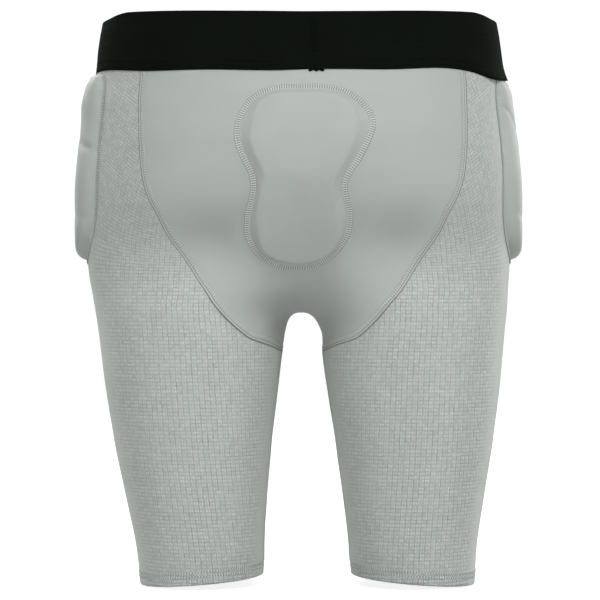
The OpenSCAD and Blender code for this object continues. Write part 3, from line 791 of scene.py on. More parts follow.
def centre_seam():
    """Seam round the centre panels: down the back, under the crotch, up the front."""
    z = np.linspace(TOP_Z, -266, 60)
    back = on_back(SEAT_LINE(z) * WIDTH_SCALE, z)
    front = on_front(FRONT_LINE(z) * WIDTH_SCALE, z)
    tip = on_leg([22, 0, 338], [-275.2, -277.6, -277.6])
    line = resample(np.vstack([back, tip, front[::-1]]), n=SEAM_POINTS)
    line = resample(smooth_curve(line, 12), n=SEAM_POINTS)
    line[1:-1] = project(line[1:-1], 3)
    return line


def tip_index(line):
    """Where the seam crosses the inner side of the leg."""
    angle = leg_angle(line)
    index = np.arange(SEAM_POINTS)
    middle = (index > 150) & (index < 350)
    return int(np.argmin(np.where(middle, np.minimum(angle, 360 - angle), 1e9)))


seam = centre_seam()
seam_tip = tip_index(seam)
seam_back = resample(seam[:seam_tip + 1], n=ROWS_NOTCH + 1)
seam_front = resample(seam[seam_tip:][::-1], n=ROWS_NOTCH + 1)
inseam_line = on_leg(0.0, np.linspace(seam[seam_tip][2], hem_z(38.0, PANEL_LIFT),
                                      ROWS_BELOW + 1))


def leg_grid():
    """Rows run from the back seam round the outside to the front seam, then down the leg."""
    total = ROWS_NOTCH + ROWS_BELOW
    hem_mid_z = hem_z(HEM_MID * WIDTH_SCALE, PANEL_LIFT)
    s = np.linspace(0, 1, COLUMNS)
    rows = []
    for i in range(total + 1):
        if i < ROWS_NOTCH:
            first, last = seam_back[i], seam_front[i]
            start, end = leg_angle(first), leg_angle(last)
            if start > 180:
                start = 0.5
            if end < 180:
                end = 359.5
        else:
            first = last = inseam_line[i - ROWS_NOTCH]
            start, end = 0.0, 360.0
        outer_z = TOP_Z + (hem_mid_z - TOP_Z) * (i / total)
        angle = start + (end - start) * s
        edge_z = first[2] + (last[2] - first[2]) * s
        z = edge_z + (outer_z - edge_z) * np.sin(np.pi * s) ** 0.8
        if i >= ROWS_NOTCH:
            # settle towards the slanted hem
            share = (i - ROWS_NOTCH) / ROWS_BELOW
            x = on_leg(angle, np.full(COLUMNS, outer_z))[:, 0]
            slant = hem_z(x, PANEL_LIFT) - hem_mid_z
            z = z * (1 - share) + (outer_z + slant) * share
            z[0] = z[-1] = first[2]
        row = on_leg(angle, z)
        row[0], row[-1] = first, last
        rows.append(row)
    return soften(relax(np.array(rows), 60))


def crotch_z(y):
    """Height of the surface on the centre line, between the legs."""
    high = np.full(y.shape, -180.0)
    low = np.full(y.shape, -300.0)
    for _ in range(26):
        middle = (high + low) / 2
        inside = field(np.zeros(y.shape), y, middle) < 0
        high = np.where(inside, middle, high)
        low = np.where(inside, low, middle)
    return (high + low) / 2


def centre_grid():
    """Left half of the centre panels, from the centre line out to the seam."""
    y = np.linspace(on_back(0.0, CROTCH_FROM)[1], on_front(0.0, CROTCH_FROM)[1], 120)
    line = np.vstack([on_back(0.0, np.linspace(TOP_Z, CROTCH_FROM, 60)),
                      vec(0.0, y, crotch_z(y))[1:-1],
                      on_front(0.0, np.linspace(CROTCH_FROM, TOP_Z, 60))])
    edge = np.vstack([seam_back, seam_front[::-1][1:]])
    lengths = arc_lengths(line)
    middle = at_lengths(np.linspace(0, 1, 2 * ROWS_NOTCH + 1), lengths / lengths[-1], line)
    u = np.linspace(0, 1, CENTRE_COLUMNS)[None, :, None]
    grid = middle[:, None, :] * (1 - u) + edge[:, None, :] * u
    grid[:, 1:-1] = project(grid[:, 1:-1], 8)
    return soften(relax(grid, 80))


leg = leg_grid()
leg_normal = normals(leg)
centre = centre_grid()
centre_normal = normals(centre)
centre_normal[:, 0, 0] = 0
centre_normal = unit(centre_normal)
# row where the seat panel meets the front panel
cut = int(np.argmin(np.abs(centre[:, 0, 1] + 34) + 1e3 * (centre[:, 0, 2] > -225)))

# ---------------------------------------------------------------- surface relief
PUCKER_PITCH = 5.3


def tree_of(points):
    tree = KDTree(len(points))
    for i, point in enumerate(points):
        tree.insert(point, i)
    tree.balance()
    return tree


seam_tree = tree_of(resample(seam, spacing=1.0))


def noise_at(points, scale, seed):
    values = [noise.noise((q[0] + seed, q[1] + 1.7 * seed, q[2]))
              for q in points.reshape(-1, 3) * scale]
    return np.array(values).reshape(points.shape[:-1])


def lift(points):
    """Gentle unevenness that panels, seams and pads share, so that they stay in touch."""
    points = np.array(points, float)
    points[..., 0] = np.abs(points[..., 0])
    x, y, z = points[..., 0], points[..., 1], points[..., 2]
    height = noise_at(points, 1 / 55.0, 3.1) * 0.75 + noise_at(points, 1 / 24.0, 7.7) * 0.22
    # the cloth sinks a little under each buttock
    spread = np.where(z > -197, 24.0, 38.0)
    height = height - 6.0 * np.exp(-((x - 82) / 30) ** 2
                                   - ((z + 197) / spread) ** 2) * smooth01(y / 45)
    return (height * smooth01((TOP_Z - z) / 12.0)
            * smooth01((z - hem_z(x, PANEL_LIFT)) / 18.0))


def raised(points):
    """Surface points with the shared unevenness, and their normals."""
    normal = normals(points)
    return points + normal * lift(points)[..., None], normal


def relief(grid):
    """The shared unevenness, with small puckers that die away from the seam."""
    found = [seam_tree.find(point)[1:] for point in grid.reshape(-1, 3)]
    along, distance = np.array(found, float).T.reshape(2, *grid.shape[:-1])
    pucker = (np.sin(along * 2 * np.pi / PUCKER_PITCH) * 0.17
              * np.exp(-np.maximum(distance - 2.8, 0) / 3.5) * (distance > 1.5))
    return lift(grid) + pucker - 0.35 * np.exp(-(distance / 3.0) ** 2)


# Arc length round the leg, measured from its back, on a grid of height and angle.
ARC_Z = np.linspace(TOP_Z + 2, -RISE - INSEAM - 8, 90)
ARC_STEP = 3.0
ARC_ANGLE = np.arange(0, 361, ARC_STEP)
ARC_OUTER = 60                       # column at 180 degrees
arc_table = np.zeros((len(ARC_Z), len(ARC_ANGLE)))
for i, z in enumerate(ARC_Z):
    lengths = arc_lengths(on_leg(ARC_ANGLE, np.full(len(ARC_ANGLE), z)))
    arc_table[i] = lengths - np.interp(90.0, ARC_ANGLE, lengths)
# Lean of the weave's columns, (z, mm across per mm of height), and its running sum.
LEAN = Table([(-500, 0.05), (-260, 0.05), (-205, 0.02), (-150, -0.3), (-30, -0.45)])
LEAN_Z = np.linspace(-500, -20, 481)
lean_sum = np.concatenate([[0], np.cumsum(LEAN((LEAN_Z[1:] + LEAN_Z[:-1]) / 2))])


def weave_uv(grid):
    """UV in mm for the mesh knit, whose courses slope down from the back to the sides."""
    z = grid[..., 2]
    row = np.clip((ARC_Z[0] - z) / (ARC_Z[0] - ARC_Z[-1]) * (len(ARC_Z) - 1),
                  0, len(ARC_Z) - 1.001)
    column = np.clip(leg_angle(grid) / ARC_STEP, 0, len(ARC_ANGLE) - 1.001)
    i, j = row.astype(int), column.astype(int)
    ti, tj = row - i, column - j
    arc = (arc_table[i, j] * (1 - ti) * (1 - tj) + arc_table[i + 1, j] * ti * (1 - tj)
           + arc_table[i, j + 1] * (1 - ti) * tj + arc_table[i + 1, j + 1] * ti * tj)
    outer = arc_table[i, ARC_OUTER] * (1 - ti) + arc_table[i + 1, ARC_OUTER] * ti
    folded = np.where(arc > outer, 2 * outer - arc, arc)
    slope = 0.62 * smooth01((z + 225) / 85.0)
    return np.stack([-arc + np.interp(z, LEAN_Z, lean_sum), z + slope * (75 - folded)], -1)


# ---------------------------------------------------------------- panels
leg_relief, leg_uv = relief(leg), weave_uv(leg)
for side in SIDE:
    obj = shell(f"leg_mesh_panel_{SIDE[side]}", sided(leg, side), sided(leg_normal, side),
                FABRIC, "mesh_fabric", leg_uv, leg_relief)
    attach(obj, "mesh_fabric", side, f"side_panel_{SIDE[side]}", f"leg_panel_{SIDE[side]}")

centre_relief = relief(centre)
centre_uv = np.stack([
    np.broadcast_to(arc_lengths(centre[len(centre) // 3]), centre.shape[:2]),
    centre[..., 2] + 0.35 * centre[..., 1]], -1)
for side in SIDE:
    for part, rows in (("seat", slice(None, cut + 1)), ("front", slice(cut, None))):
        obj = shell(f"{part}_half_{SIDE[side]}", sided(centre[rows], side),
                    sided(centre_normal[rows], side), FABRIC, "seat_fabric", centre_uv[rows],
                    centre_relief[rows])
        attach(obj, "seat_fabric", side, f"{part}_panel")


# ---------------------------------------------------------------- seams
def sew_seam(name, side, curve, normal, width=5.0, tooth=0.35, base=0.0, thin=(0, 0),
             in_cad=True):
    name = f"{name}_{SIDE[side]}"
    obj = ribbon(name, sided(curve, side), sided(normal, side), width, "seam_thread",
                 pitch=2.05, rise=0.35, edge=0.35, tooth=tooth, base=base,
                 flip_v=side < 0, flatlock=True, thin=thin)
    attach(obj, "grey_thread", side, *([name] if in_cad else []))


raised_seam, seam_normal = raised(seam)
raised_inseam, inseam_normal = raised(inseam_line)
crotch_normal = centre_normal[cut]
raised_crotch = centre[cut] + crotch_normal * lift(centre[cut])[:, None]
# the seams start just under the waistband
below_band = seam[:, 2] < -BAND_H + 1.2
seat_part = slice(int(np.argmax(below_band)), seam_tip + 1)
front_part = slice(seam_tip, len(seam) - int(np.argmax(below_band[::-1])))
for side in SIDE:
    for name, part, thin in (("seat_seam", seat_part, (5, 0)),
                             ("front_seam", front_part, (0, 5))):
        sew_seam(name, side, raised_seam[part], seam_normal[part], width=5.8, tooth=0.4,
                 base=-0.05, thin=thin)
    sew_seam("inseam", side, raised_inseam, inseam_normal)
    # across the crotch, between the seat and the front panel
    sew_seam("crotch_seam", side, raised_crotch, crotch_normal, base=0.1, in_cad=False)

# ---------------------------------------------------------------- hems
hem_angle = np.linspace(0, 360, 180, endpoint=False)
hem_x = on_leg(hem_angle, -RISE - INSEAM + 5.0)[:, 0]
# Section of the folded hem, outside first: (height above the edge, offset outwards).
HEM_SECTION = (
    [(up, 0.12 + 0.1 * math.sin(up * 0.5)) for up in np.linspace(11.6, 1.0, 9)]
    + [(0.35, -0.1), (0.0, -0.75), (0.3, -1.5), (1.0, -1.85)]
    + [(up, -2.0) for up in np.linspace(2.5, 11.0, 6)]
    + [(11.4, -1.6), (11.7, -0.9)])
HEM_STITCH_ROWS = (10.9, 7.2)


def hem_ring(up):
    points = on_leg(hem_angle, hem_z(hem_x, up))
    return points, normals(points)


def make_hem(side):
    section, uv = [], []
    for up, offset in HEM_SECTION:
        points, normal = hem_ring(up)
        wobble = 0.12 * np.sin(np.radians(hem_angle) * 23 + 1.0) * (up < 9)
        section.append(sided(points + normal * (offset + wobble)[:, None], side))
        uv.append(weave_uv(points))
    obj = section_loop(f"hem_{SIDE[side]}", section, "mesh_fabric", uv)
    attach(obj, "mesh_fabric", side, f"hem_{SIDE[side]}")
    for number, up in enumerate(HEM_STITCH_ROWS, 1):
        points, normal = hem_ring(up)
        obj = ribbon(f"hem_stitch_{SIDE[side]}_{number}", sided(points, side),
                     sided(normal, side), 1.5, "grey_thread", pitch=2.4, rise=0.25, edge=0.1,
                     tooth=0.3, base=0.2, closed=True)
        attach(obj, "grey_thread", side, f"hem_stitching_{SIDE[side]}")


for side in SIDE:
    make_hem(side)

# ---------------------------------------------------------------- waistband
BAND_POINTS = 320
BAND_FACE = 0.95                     # outer face of the band, off the garment's surface
band_angle = np.linspace(0, 2 * np.pi, BAND_POINTS, endpoint=False)


def waist_ring(z, offset):
    z = np.broadcast_to(np.asarray(z, float), (BAND_POINTS,))
    points = cast(vec(0.0, 0.0, z), vec(np.cos(band_angle), np.sin(band_angle), 0.0), 260)
    return points + normals(points) * np.broadcast_to(offset, (BAND_POINTS,))[:, None]


base_ring = waist_ring(-BAND_H, 0.0)
base_x, base_y = base_ring[:, 0], base_ring[:, 1]


def hip_bump(x, width):
    return np.exp(-((base_x - x) / width) ** 2)


# lower edge: almost level, dips at the back of the wearer's right hip
low_edge = (-BAND_H - 0.2 + 0.5 * np.sin(3 * band_angle + 0.6)
            + 0.35 * np.sin(7 * band_angle + 2.0))
low_edge -= 4.6 * hip_bump(-160, 17) * smooth01((base_y + 10) / 30)
low_edge += 3.6 * hip_bump(165, 26) * smooth01((base_y + 20) / 30)
low_edge += 1.8 * hip_bump(-112, 26) * (base_y > 0)
# the rim rises away from the centre on either side
rim_z = (-0.15 + 0.15 * np.sin(2 * band_angle)
         + 3.4 * (np.abs(base_x) / 158) ** 1.6 * (1 - smooth01((np.abs(base_x) - 150) / 20))
         - 1.2 * smooth01((np.abs(base_x) - 160) / 12))


def flare(share):
    """The band stands off over the right hip pad."""
    return 2.3 * max(0, share) ** 2 * smooth01((-base_x - 145) / 20)


def band_line(z, offset):
    """A line round the waistband, with its slight waves, and its normals."""
    points = waist_ring(np.clip(z, -80, 0), offset)
    points[:, 2] = z
    normal = normals(points)
    level = normal.copy()
    level[:, 2] = 0
    wave = ((0.45 * np.sin(5 * band_angle + 1.1) + 0.3 * np.sin(11 * band_angle))
            * smooth01((z - low_edge - 4) / 14))
    return points + level * wave[:, None], normal


def band_section():
    """(z, offset) round the band's section: outer face, rolled rim, inner face, lower edge."""
    section = []
    for t in np.linspace(0, 1, 22):
        offset = BAND_FACE - 0.35 * t + 0.10 * np.sin(9 * band_angle + 2 * t) * (1 - t)
        section.append((low_edge + (rim_z - 1.3 - low_edge) * t, offset + flare(1 - t / 0.3)))
    for turn in np.linspace(0.15, 0.95, 5):
        section.append((rim_z - 1.3 + 1.25 * math.sin(math.pi * turn),
                        -0.4 + math.cos(math.pi * turn)))
    for t in np.linspace(1, 0, 8):
        section.append((low_edge + 0.3 + (rim_z - 1.6 - low_edge) * t, -1.75))
    return section + [(low_edge - 0.05, -0.9), (low_edge - 0.25, 0.2)]


def make_waistband():
    arc = arc_lengths(base_ring)
    lines = band_section()
    obj = section_loop("waistband", [band_line(z, offset)[0] for z, offset in lines],
                       "elastic_black", [np.stack([arc, z], 1) for z, _ in lines])
    attach(obj, "elastic_black", 0, "waistband_elastic")
    for number, up in enumerate((3.2, 7.4), 1):
        curve, normal = band_line(low_edge + up, BAND_FACE - 0.02 + flare(1 - up / 13.5))
        obj = ribbon(f"waistband_stitch_{number}", curve, normal, 1.2, "band_thread",
                     pitch=3.0, rise=0.05, edge=0.02, tooth=0.12, closed=True)
        attach(obj, "band_thread", 0, "waistband_stitching")


def make_band_join():
    """Closing column of the elastic loop, just off the centre back, and its bar tack."""
    curve = on_back(-11.0, np.linspace(-6, -34, 40))
    normal = normals(curve)
    obj = ribbon("waistband_join", curve + normal * 0.9, normal, 3.4, "band_thread",
                 pitch=1.6, rise=0.06, edge=0.08, tooth=0.1, base=-0.05)
    attach(obj, "band_thread", 0, "waistband_join_stitch")
    x = np.linspace(-5.0, -17.0, 30)
    curve = on_back(x, np.full(30, -BAND_H - 0.7) + 0.7 * np.sin(x * 1.3))
    normal = normals(curve)
    obj = ribbon("waistband_bartack", curve + normal * 0.5, normal, 2.4, "band_thread",
                 pitch=1.3, rise=0.4, edge=0.1, tooth=0.4)
    attach(obj, "band_thread", 0)


def make_label():
    """Blank label inside the centre back, its side edges and lower end curled inwards."""
    half = 19
    x, z = np.meshgrid(np.linspace(half, -half, 20), np.linspace(-8, -38, 16))
    grid = on_back(x, z)
    curl = -2.05 - 0.9 * (np.abs(x) / half) ** 6 - 0.5 * smooth01((-30 - z) / 8)
    obj = shell("care_label", grid, normals(grid), 0.35, "label", np.stack([x, z], -1), curl)
    attach(obj, "label", 0, "care_label")


make_waistband()
make_band_join()
make_label()


# ---------------------------------------------------------------- pad helpers
def coons(outline, columns, rows, corners):
    """Quad grid inside a closed 2D outline, its four corners at the given indices."""
    total = len(outline)

    def arc(start, end, n):
        index = np.arange(start, end + 1 if end > start else end + total + 1) % total
        return resample(outline[index], n=n)

    a, b, c, d = corners
    top, right = arc(a, b, columns), arc(b, c, rows)
    bottom, left = arc(c, d, columns)[::-1], arc(d, a, rows)[::-1]
    u = np.linspace(0, 1, columns)[None, :, None]
    v = np.linspace(0, 1, rows)[:, None, None]
    grid = ((1 - v) * top[None] + v * bottom[None] + (1 - u) * left[:, None]
            + u * right[:, None]
            - ((1 - u) * (1 - v) * top[0] + u * (1 - v) * top[-1]
               + (1 - u) * v * bottom[0] + u * v * bottom[-1]))
    return relax(grid, 200, keep_on_surface=False)


def outline_distance(flat, outline):
    tree = tree_of([(p[0], p[1], 0) for p in outline])
    distance = [tree.find((p[0], p[1], 0))[2] for p in flat.reshape(-1, 2)]
    return np.array(distance).reshape(flat.shape[:-1])


def inset(outline, distance):
    tangent = unit(np.roll(outline, -2, 0) - np.roll(outline, 2, 0))
    x, y = outline[:, 0], outline[:, 1]
    area = 0.5 * (x * np.roll(y, -1) - np.roll(x, -1) * y).sum()
    inward = np.stack([-tangent[:, 1], tangent[:, 0]], 1) * (1 if area > 0 else -1)
    return resample(smooth_curve(outline + inward * distance, 10, True), spacing=1.0,
                    closed=True)


def nearest_indices(outline, points):
    return [int(np.argmin(((outline - np.array(p)) ** 2).sum(1))) for p in points]


def box_corners(outline, centre, top, bottom, half_height):
    """Outline indices nearest the corners of a trapezium."""
    x, z = centre
    return sorted(nearest_indices(outline, [
        (x - top, z + half_height), (x + top, z + half_height),
        (x + bottom, z - half_height), (x - bottom, z - half_height)]))


def inside_outline(flat, outline):
    x, y = flat[..., 0], flat[..., 1]
    inside = np.zeros(x.shape, bool)
    x2, y2 = outline[-1]
    for x1, y1 in outline:
        crosses = (y1 > y) != (y2 > y)
        inside ^= crosses & (x < (x2 - x1) * (y - y1) / (y2 - y1 + 1e-12) + x1)
        x2, y2 = x1, y1
    return inside


def round_edge(distance, radius):
    """Quarter-round rise from 0 at the edge to 1 one radius in."""
    return np.sqrt(np.clip(1 - (1 - np.clip(distance / radius, 0, 1)) ** 2, 0, 1))


OUTLINE_ANGLE = np.linspace(0, 2 * np.pi, 600, endpoint=False)
OUTLINE_COS, OUTLINE_SIN = np.cos(OUTLINE_ANGLE), np.sin(OUTLINE_ANGLE)


def rounded_loop(centre, half_width, half_height, power):
    radius = (np.abs(OUTLINE_COS / half_width) ** power
              + np.abs(OUTLINE_SIN / half_height) ** power) ** (-1 / power)
    return np.stack([centre[0] + radius * OUTLINE_COS, centre[1] + radius * OUTLINE_SIN], 1)


def lay_pad(outline, corners, columns, rows, on_surface, side=1):
    """Grid of a pad, flat and laid on the garment."""
    flat = coons(outline, columns, rows, corners)
    surface, normal = raised(on_surface(flat))
    return SimpleNamespace(outline=outline, flat=flat, edge=outline_distance(flat, outline),
                           on_surface=on_surface, surface=sided(surface, side),
                           normal=sided(normal, side))


def set_cloth(pad, height, pin, cap, pressure):
    """Height of the unstretched cover, its pins, and how far and hard it may swell."""
    pad.start = pad.surface + pad.normal * height[..., None]
    pad.pin, pad.cap, pad.pressure = pin, cap, pressure


def set_plate_cloth(pad, height):
    """Cover sewn down at the edge and half held on its foam plates."""
    pin = np.where(pad.edge < 2.6, 1.0, np.where(pad.edge > 14, 0.55, 0.0))
    set_cloth(pad, height, pin, cap=1.3, pressure=0.8)


# ---------------------------------------------------------------- tailbone pad
# Hourglass outline, and the foam's flat top inside it: (x, z).
TAIL = [
    (0, -61.3), (-20, -61.3), (-38.6, -65), (-53.5, -75), (-62, -88.5), (-61, -101),
    (-51.5, -121.5), (-41.5, -137), (-40, -148), (-44, -166), (-41.5, -184.5), (-29.5, -200.5),
    (-13.4, -210.4), (1.6, -212), (16.5, -210.4), (34, -201), (43.4, -184.5), (43.5, -168),
    (39.5, -150), (39.3, -137), (48.5, -117), (51.9, -103.7), (50.5, -90.5), (44.8, -78.5),
    (36, -69), (20, -62.3)]
PLATEAU = [
    (0, -68.5), (-22, -68.7), (-36, -73.5), (-44.5, -84), (-47, -97), (-40.5, -120),
    (-31.5, -134), (-28.8, -150), (-32.5, -170), (-33.5, -186), (-26, -197.5), (-13, -203.4),
    (1, -204.6), (15, -203.4), (27, -197), (32.9, -184), (33.9, -166), (31, -147.5),
    (27.6, -134), (37.5, -112), (36.5, -92), (32.5, -78), (20, -69.8)]
TAIL_CORNERS = [(47, -77), (-52, -79), (-29.5, -197.5), (39.5, -198.5)]
TAIL_THICKNESS = 6.4
TAIL_FLANGE = 4.4                    # flat sewn edge outside the foam


def tail_outline(points):
    """Loop through the points, shifted to cancel the twist of the back."""
    points = [(x + float(TWIST(z)), z) for x, z in points]
    return resample(closed_spline(points), spacing=0.7, closed=True)


def lay_tail_pad():
    outline, plateau = tail_outline(TAIL), tail_outline(PLATEAU)
    pad = lay_pad(outline, nearest_indices(outline, TAIL_CORNERS), 80, 112,
                  lambda p: on_back(p[..., 0], p[..., 1]))
    to_plateau = outline_distance(pad.flat, plateau)
    on_top = inside_outline(pad.flat, plateau)
    from_flange = np.maximum(pad.edge - TAIL_FLANGE, 0)
    rise = np.where(on_top, 1.0, from_flange / np.maximum(from_flange + to_plateau, 1e-6))
    height = (0.5 + TAIL_THICKNESS * (0.9 * rise + 0.1 * smooth01(rise))
              + np.where(on_top, 0.5 * smooth01(to_plateau / 18.0), 0))
    pin = np.where(pad.edge < TAIL_FLANGE + 0.4, 1.0,
                   np.where(on_top & (to_plateau > 2.0), 0.75, 0.0))
    set_cloth(pad, blur(height), pin, cap=1.4, pressure=0.9)
    return pad


# ---------------------------------------------------------------- hip pads
# Rounded panels on the side of each hip, in (y, z).
HIP_CENTRE = (-14.0, -126.0)
HIP_TOP = {1: -46.4, -1: -52.0}      # sewn in just under the waistband
HIP_THICKNESS = Table([
    (-210, 9.8), (-197, 10.5), (-190, 10.9), (-163, 11.2), (-143, 11.2), (-116, 10.0),
    (-88, 8.1), (-61, 6.4), (-47, 4.6), (-40, 4.2)])


def hip_outline(top):
    below = OUTLINE_SIN < 0
    width = np.where(below, 64 - 13 * OUTLINE_SIN * OUTLINE_SIN * np.abs(OUTLINE_SIN), 64.0)
    loop = rounded_loop(HIP_CENTRE, width, np.where(below, 79, 90), np.where(below, 3.1, 4.5))
    z = loop[:, 1]
    # the top flattens off towards its limit
    loop[:, 1] = np.where(z > top - 4, top - 4 * np.exp(-(z - top + 4) / 4), z)
    return resample(loop, spacing=0.7, closed=True)


def hip_height(pad, side):
    y, z = pad.flat[..., 0], pad.flat[..., 1]
    top = HIP_TOP[side]
    forward = 44 - y
    radius = 8.5 + 7.0 * smooth01((y - HIP_CENTRE[0]) / 40.0) * smooth01((z + 185) / 40.0)
    top_radius = 6.5 if side > 0 else 12.0
    radius = radius + (top_radius - radius) * smooth01((z - top + 22) / 14)
    rounding = round_edge(pad.edge - np.where(z > top - 4, 0.5, 2.4), radius)
    # lines where one foam plate meets the next; the right pad's slant the other way
    if side > 0:
        extra = 2.2 * smooth01((z + 92) / 25)
        upper = z + 110 - 0.30 * forward
        lower = z + 167 - 0.1 * forward
        upper_depth = 2.4
    else:
        extra = 0
        upper = z + 75 + 0.62 * forward * np.exp(-np.maximum(forward - 30, 0) / 60)
        lower = z + 163 + 0.12 * forward
        upper_depth = 2.2
    grooves = (upper_depth * np.exp(-np.abs(upper / 2.6) ** 1.6)
               + 1.5 * np.exp(-np.abs(lower / 3.0) ** 1.6))
    # the cover bridges the grooves where it is stretched most
    bridge = 1 - 0.8 * np.exp(-((y + 3) / 17) ** 2)
    height = 0.5 + (HIP_THICKNESS(z) + extra - 0.5) * rounding
    return height - grooves * smooth01((pad.edge - 2) / 6) * bridge


def lay_hip_pad(side):
    outline = hip_outline(HIP_TOP[side])
    corners = box_corners(outline, HIP_CENTRE, top=48, bottom=36, half_height=66)
    pad = lay_pad(outline, corners, 72, 72, lambda p: on_side(p[..., 0], p[..., 1]), side)
    set_plate_cloth(pad, hip_height(pad, side))
    return pad


# ---------------------------------------------------------------- thigh pads
# Rounded trapeziums on the front of each thigh, in (arc length, z).
THIGH_CENTRE = (0.0, -372.0)
THIGH_RADIUS = 66
THIGH_GROOVES = (22, -22)


def on_thigh(flat):
    return on_leg(270 + flat[..., 0] / THIGH_RADIUS * 57.3, flat[..., 1])


def lay_thigh_pad():
    outline = resample(rounded_loop(THIGH_CENTRE, 46 + 6 * OUTLINE_SIN, 66, 2.8),
                       spacing=0.7, closed=True)
    corners = box_corners(outline, THIGH_CENTRE, top=44, bottom=34, half_height=57)
    pad = lay_pad(outline, corners, 60, 60, on_thigh)
    height = 0.5 + 8.3 * round_edge(pad.edge - 2.4, 9.0)
    for offset in THIGH_GROOVES:
        groove = (pad.flat[..., 1] - THIGH_CENTRE[1] - offset
                  + 5.0 * (pad.flat[..., 0] / 46) ** 2)
        height -= 2.3 * np.exp(-np.abs(groove / 2.8) ** 1.7) * smooth01((pad.edge - 2) / 7)
    set_plate_cloth(pad, height)
    return pad


# ---------------------------------------------------------------- cloth run for the covers
CLOTH_SCALE = 0.01                   # solver units per mm, where its defaults are steady
CLOTH_SETTINGS = dict(
    quality=6, mass=0.3, tension_stiffness=14, compression_stiffness=14, shear_stiffness=8,
    bending_stiffness=1.2, vertex_group_mass="pin", pin_stiffness=1.0, use_pressure=True,
    shrink_min=0.01)
CLOTH_FRAMES, CACHE_END = 18, 20


def add_cloth(pad):
    rows, columns = pad.start.shape[:2]
    flip = not faces_outward(pad.start, pad.normal)
    mesh = bpy.data.meshes.new("cloth_tmp")
    mesh.from_pydata((pad.start.reshape(-1, 3) * CLOTH_SCALE).tolist(), [],
                     grid_faces(rows, columns, 0, flip))
    mesh.update()
    obj = bpy.data.objects.new("cloth_tmp", mesh)
    bpy.context.scene.collection.objects.link(obj)
    group = obj.vertex_groups.new(name="pin")
    for i, weight in enumerate(pad.pin.ravel()):
        if weight > 0:
            group.add([i], float(weight), "REPLACE")
    cloth = obj.modifiers.new("Cloth", "CLOTH")
    for key, value in CLOTH_SETTINGS.items():
        setattr(cloth.settings, key, value)
    cloth.settings.effector_weights.gravity = 0
    cloth.settings.uniform_pressure_force = pad.pressure
    cloth.point_cache.frame_start = 1
    cloth.point_cache.frame_end = CACHE_END
    return obj


def read_cloth(pad, obj, depsgraph):
    evaluated = obj.evaluated_get(depsgraph)
    mesh = evaluated.to_mesh()
    flat = np.empty(len(mesh.vertices) * 3)
    mesh.vertices.foreach_get("co", flat)
    moved = flat.reshape(pad.start.shape) / CLOTH_SCALE - pad.start
    evaluated.to_mesh_clear()
    length = np.linalg.norm(moved, axis=-1, keepdims=True)
    moved = blur(moved * np.minimum(1, pad.cap / np.maximum(length, 1e-9)))
    # never sinks into the foam
    outward = (moved * pad.normal).sum(-1, keepdims=True)
    pad.outer = pad.start + (moved - pad.normal * np.minimum(0, outward + 0.2))


def run_cloths(pads):
    """Swells every cover over its foam; the outer sheet is left in pad.outer."""
    scene = bpy.context.scene
    scene.frame_set(1)
    objects = [add_cloth(pad) for pad in pads]
    for frame in range(1, CLOTH_FRAMES + 1):
        scene.frame_set(frame)
    depsgraph = bpy.context.evaluated_depsgraph_get()
    for pad, obj in zip(pads, objects):
        read_cloth(pad, obj, depsgraph)
        bpy.data.objects.remove(obj, do_unlink=True)
    scene.frame_set(1)


# ---------------------------------------------------------------- finished pads
COVER = 1.0
FOAM_DEPTH = 1.3                     # foam top below the cover's outer face
FOAM_FLOOR_GAP = 0.15
FOAM_MARGIN = 3                      # grid cells left out round the foam


def finish_pad(pad, base, side, stitch_width=4.0, stitch_inset=0.6):
    """Cover, foam and stitching of one pad; side 0 is the one on the centre back."""
    suffix = f"_{SIDE[side]}" if side else ""
    obj = shell(f"{base}{suffix}_cover", pad.outer, pad.normal, COVER, "pad_cover", pad.flat)
    attach(obj, "pad_cover", side, f"{base}_cover{suffix}")

    core = (slice(FOAM_MARGIN, -FOAM_MARGIN),) * 2
    outer, normal = pad.outer[core], pad.normal[core]
    thickness = ((outer - pad.surface[core]) * normal).sum(-1)
    obj = shell(f"{base}{suffix}_foam", outer, normal,
                np.maximum(thickness - FOAM_DEPTH - FOAM_FLOOR_GAP, 0.25), "foam",
                pad.flat[core], -FOAM_DEPTH)
    attach(obj, "foam", side, f"{base}_core{suffix}")

    curve, normal = raised(pad.on_surface(inset(pad.outline, stitch_inset)))
    obj = ribbon(f"{base}{suffix}_stitching", sided(curve, side or 1), sided(normal, side or 1),
                 stitch_width, "grey_thread", pitch=1.95, rise=0.3, edge=0.3, tooth=0.4,
                 base=0.5, closed=True)
    attach(obj, "grey_thread", side, f"{base}_stitching{suffix}")


tail_pad = lay_tail_pad()
hip_pads = {side: lay_hip_pad(side) for side in SIDE}
thigh_pad = lay_thigh_pad()
run_cloths([tail_pad, hip_pads[1], hip_pads[-1], thigh_pad])

finish_pad(tail_pad, "tailbone_pad", 0, stitch_width=5.0, stitch_inset=2.3)
for side in SIDE:
    finish_pad(hip_pads[side], "hip_pad", side)
    # both thigh pads come from the left one
    thigh = SimpleNamespace(**vars(thigh_pad))
    for key in ("surface", "normal", "outer"):
        setattr(thigh, key, sided(getattr(thigh_pad, key), side))
    finish_pad(thigh, "thigh_pad", side)

# ---------------------------------------------------------------- floor and world, metres
FLOOR_HALF, FLOOR_POINTS = 7, 15
SKY_LOW, SKY_HIGH = 0.08, 0.42       # strength below and above
SKY_SEEN = 1.05                      # the camera sees a plain white surround


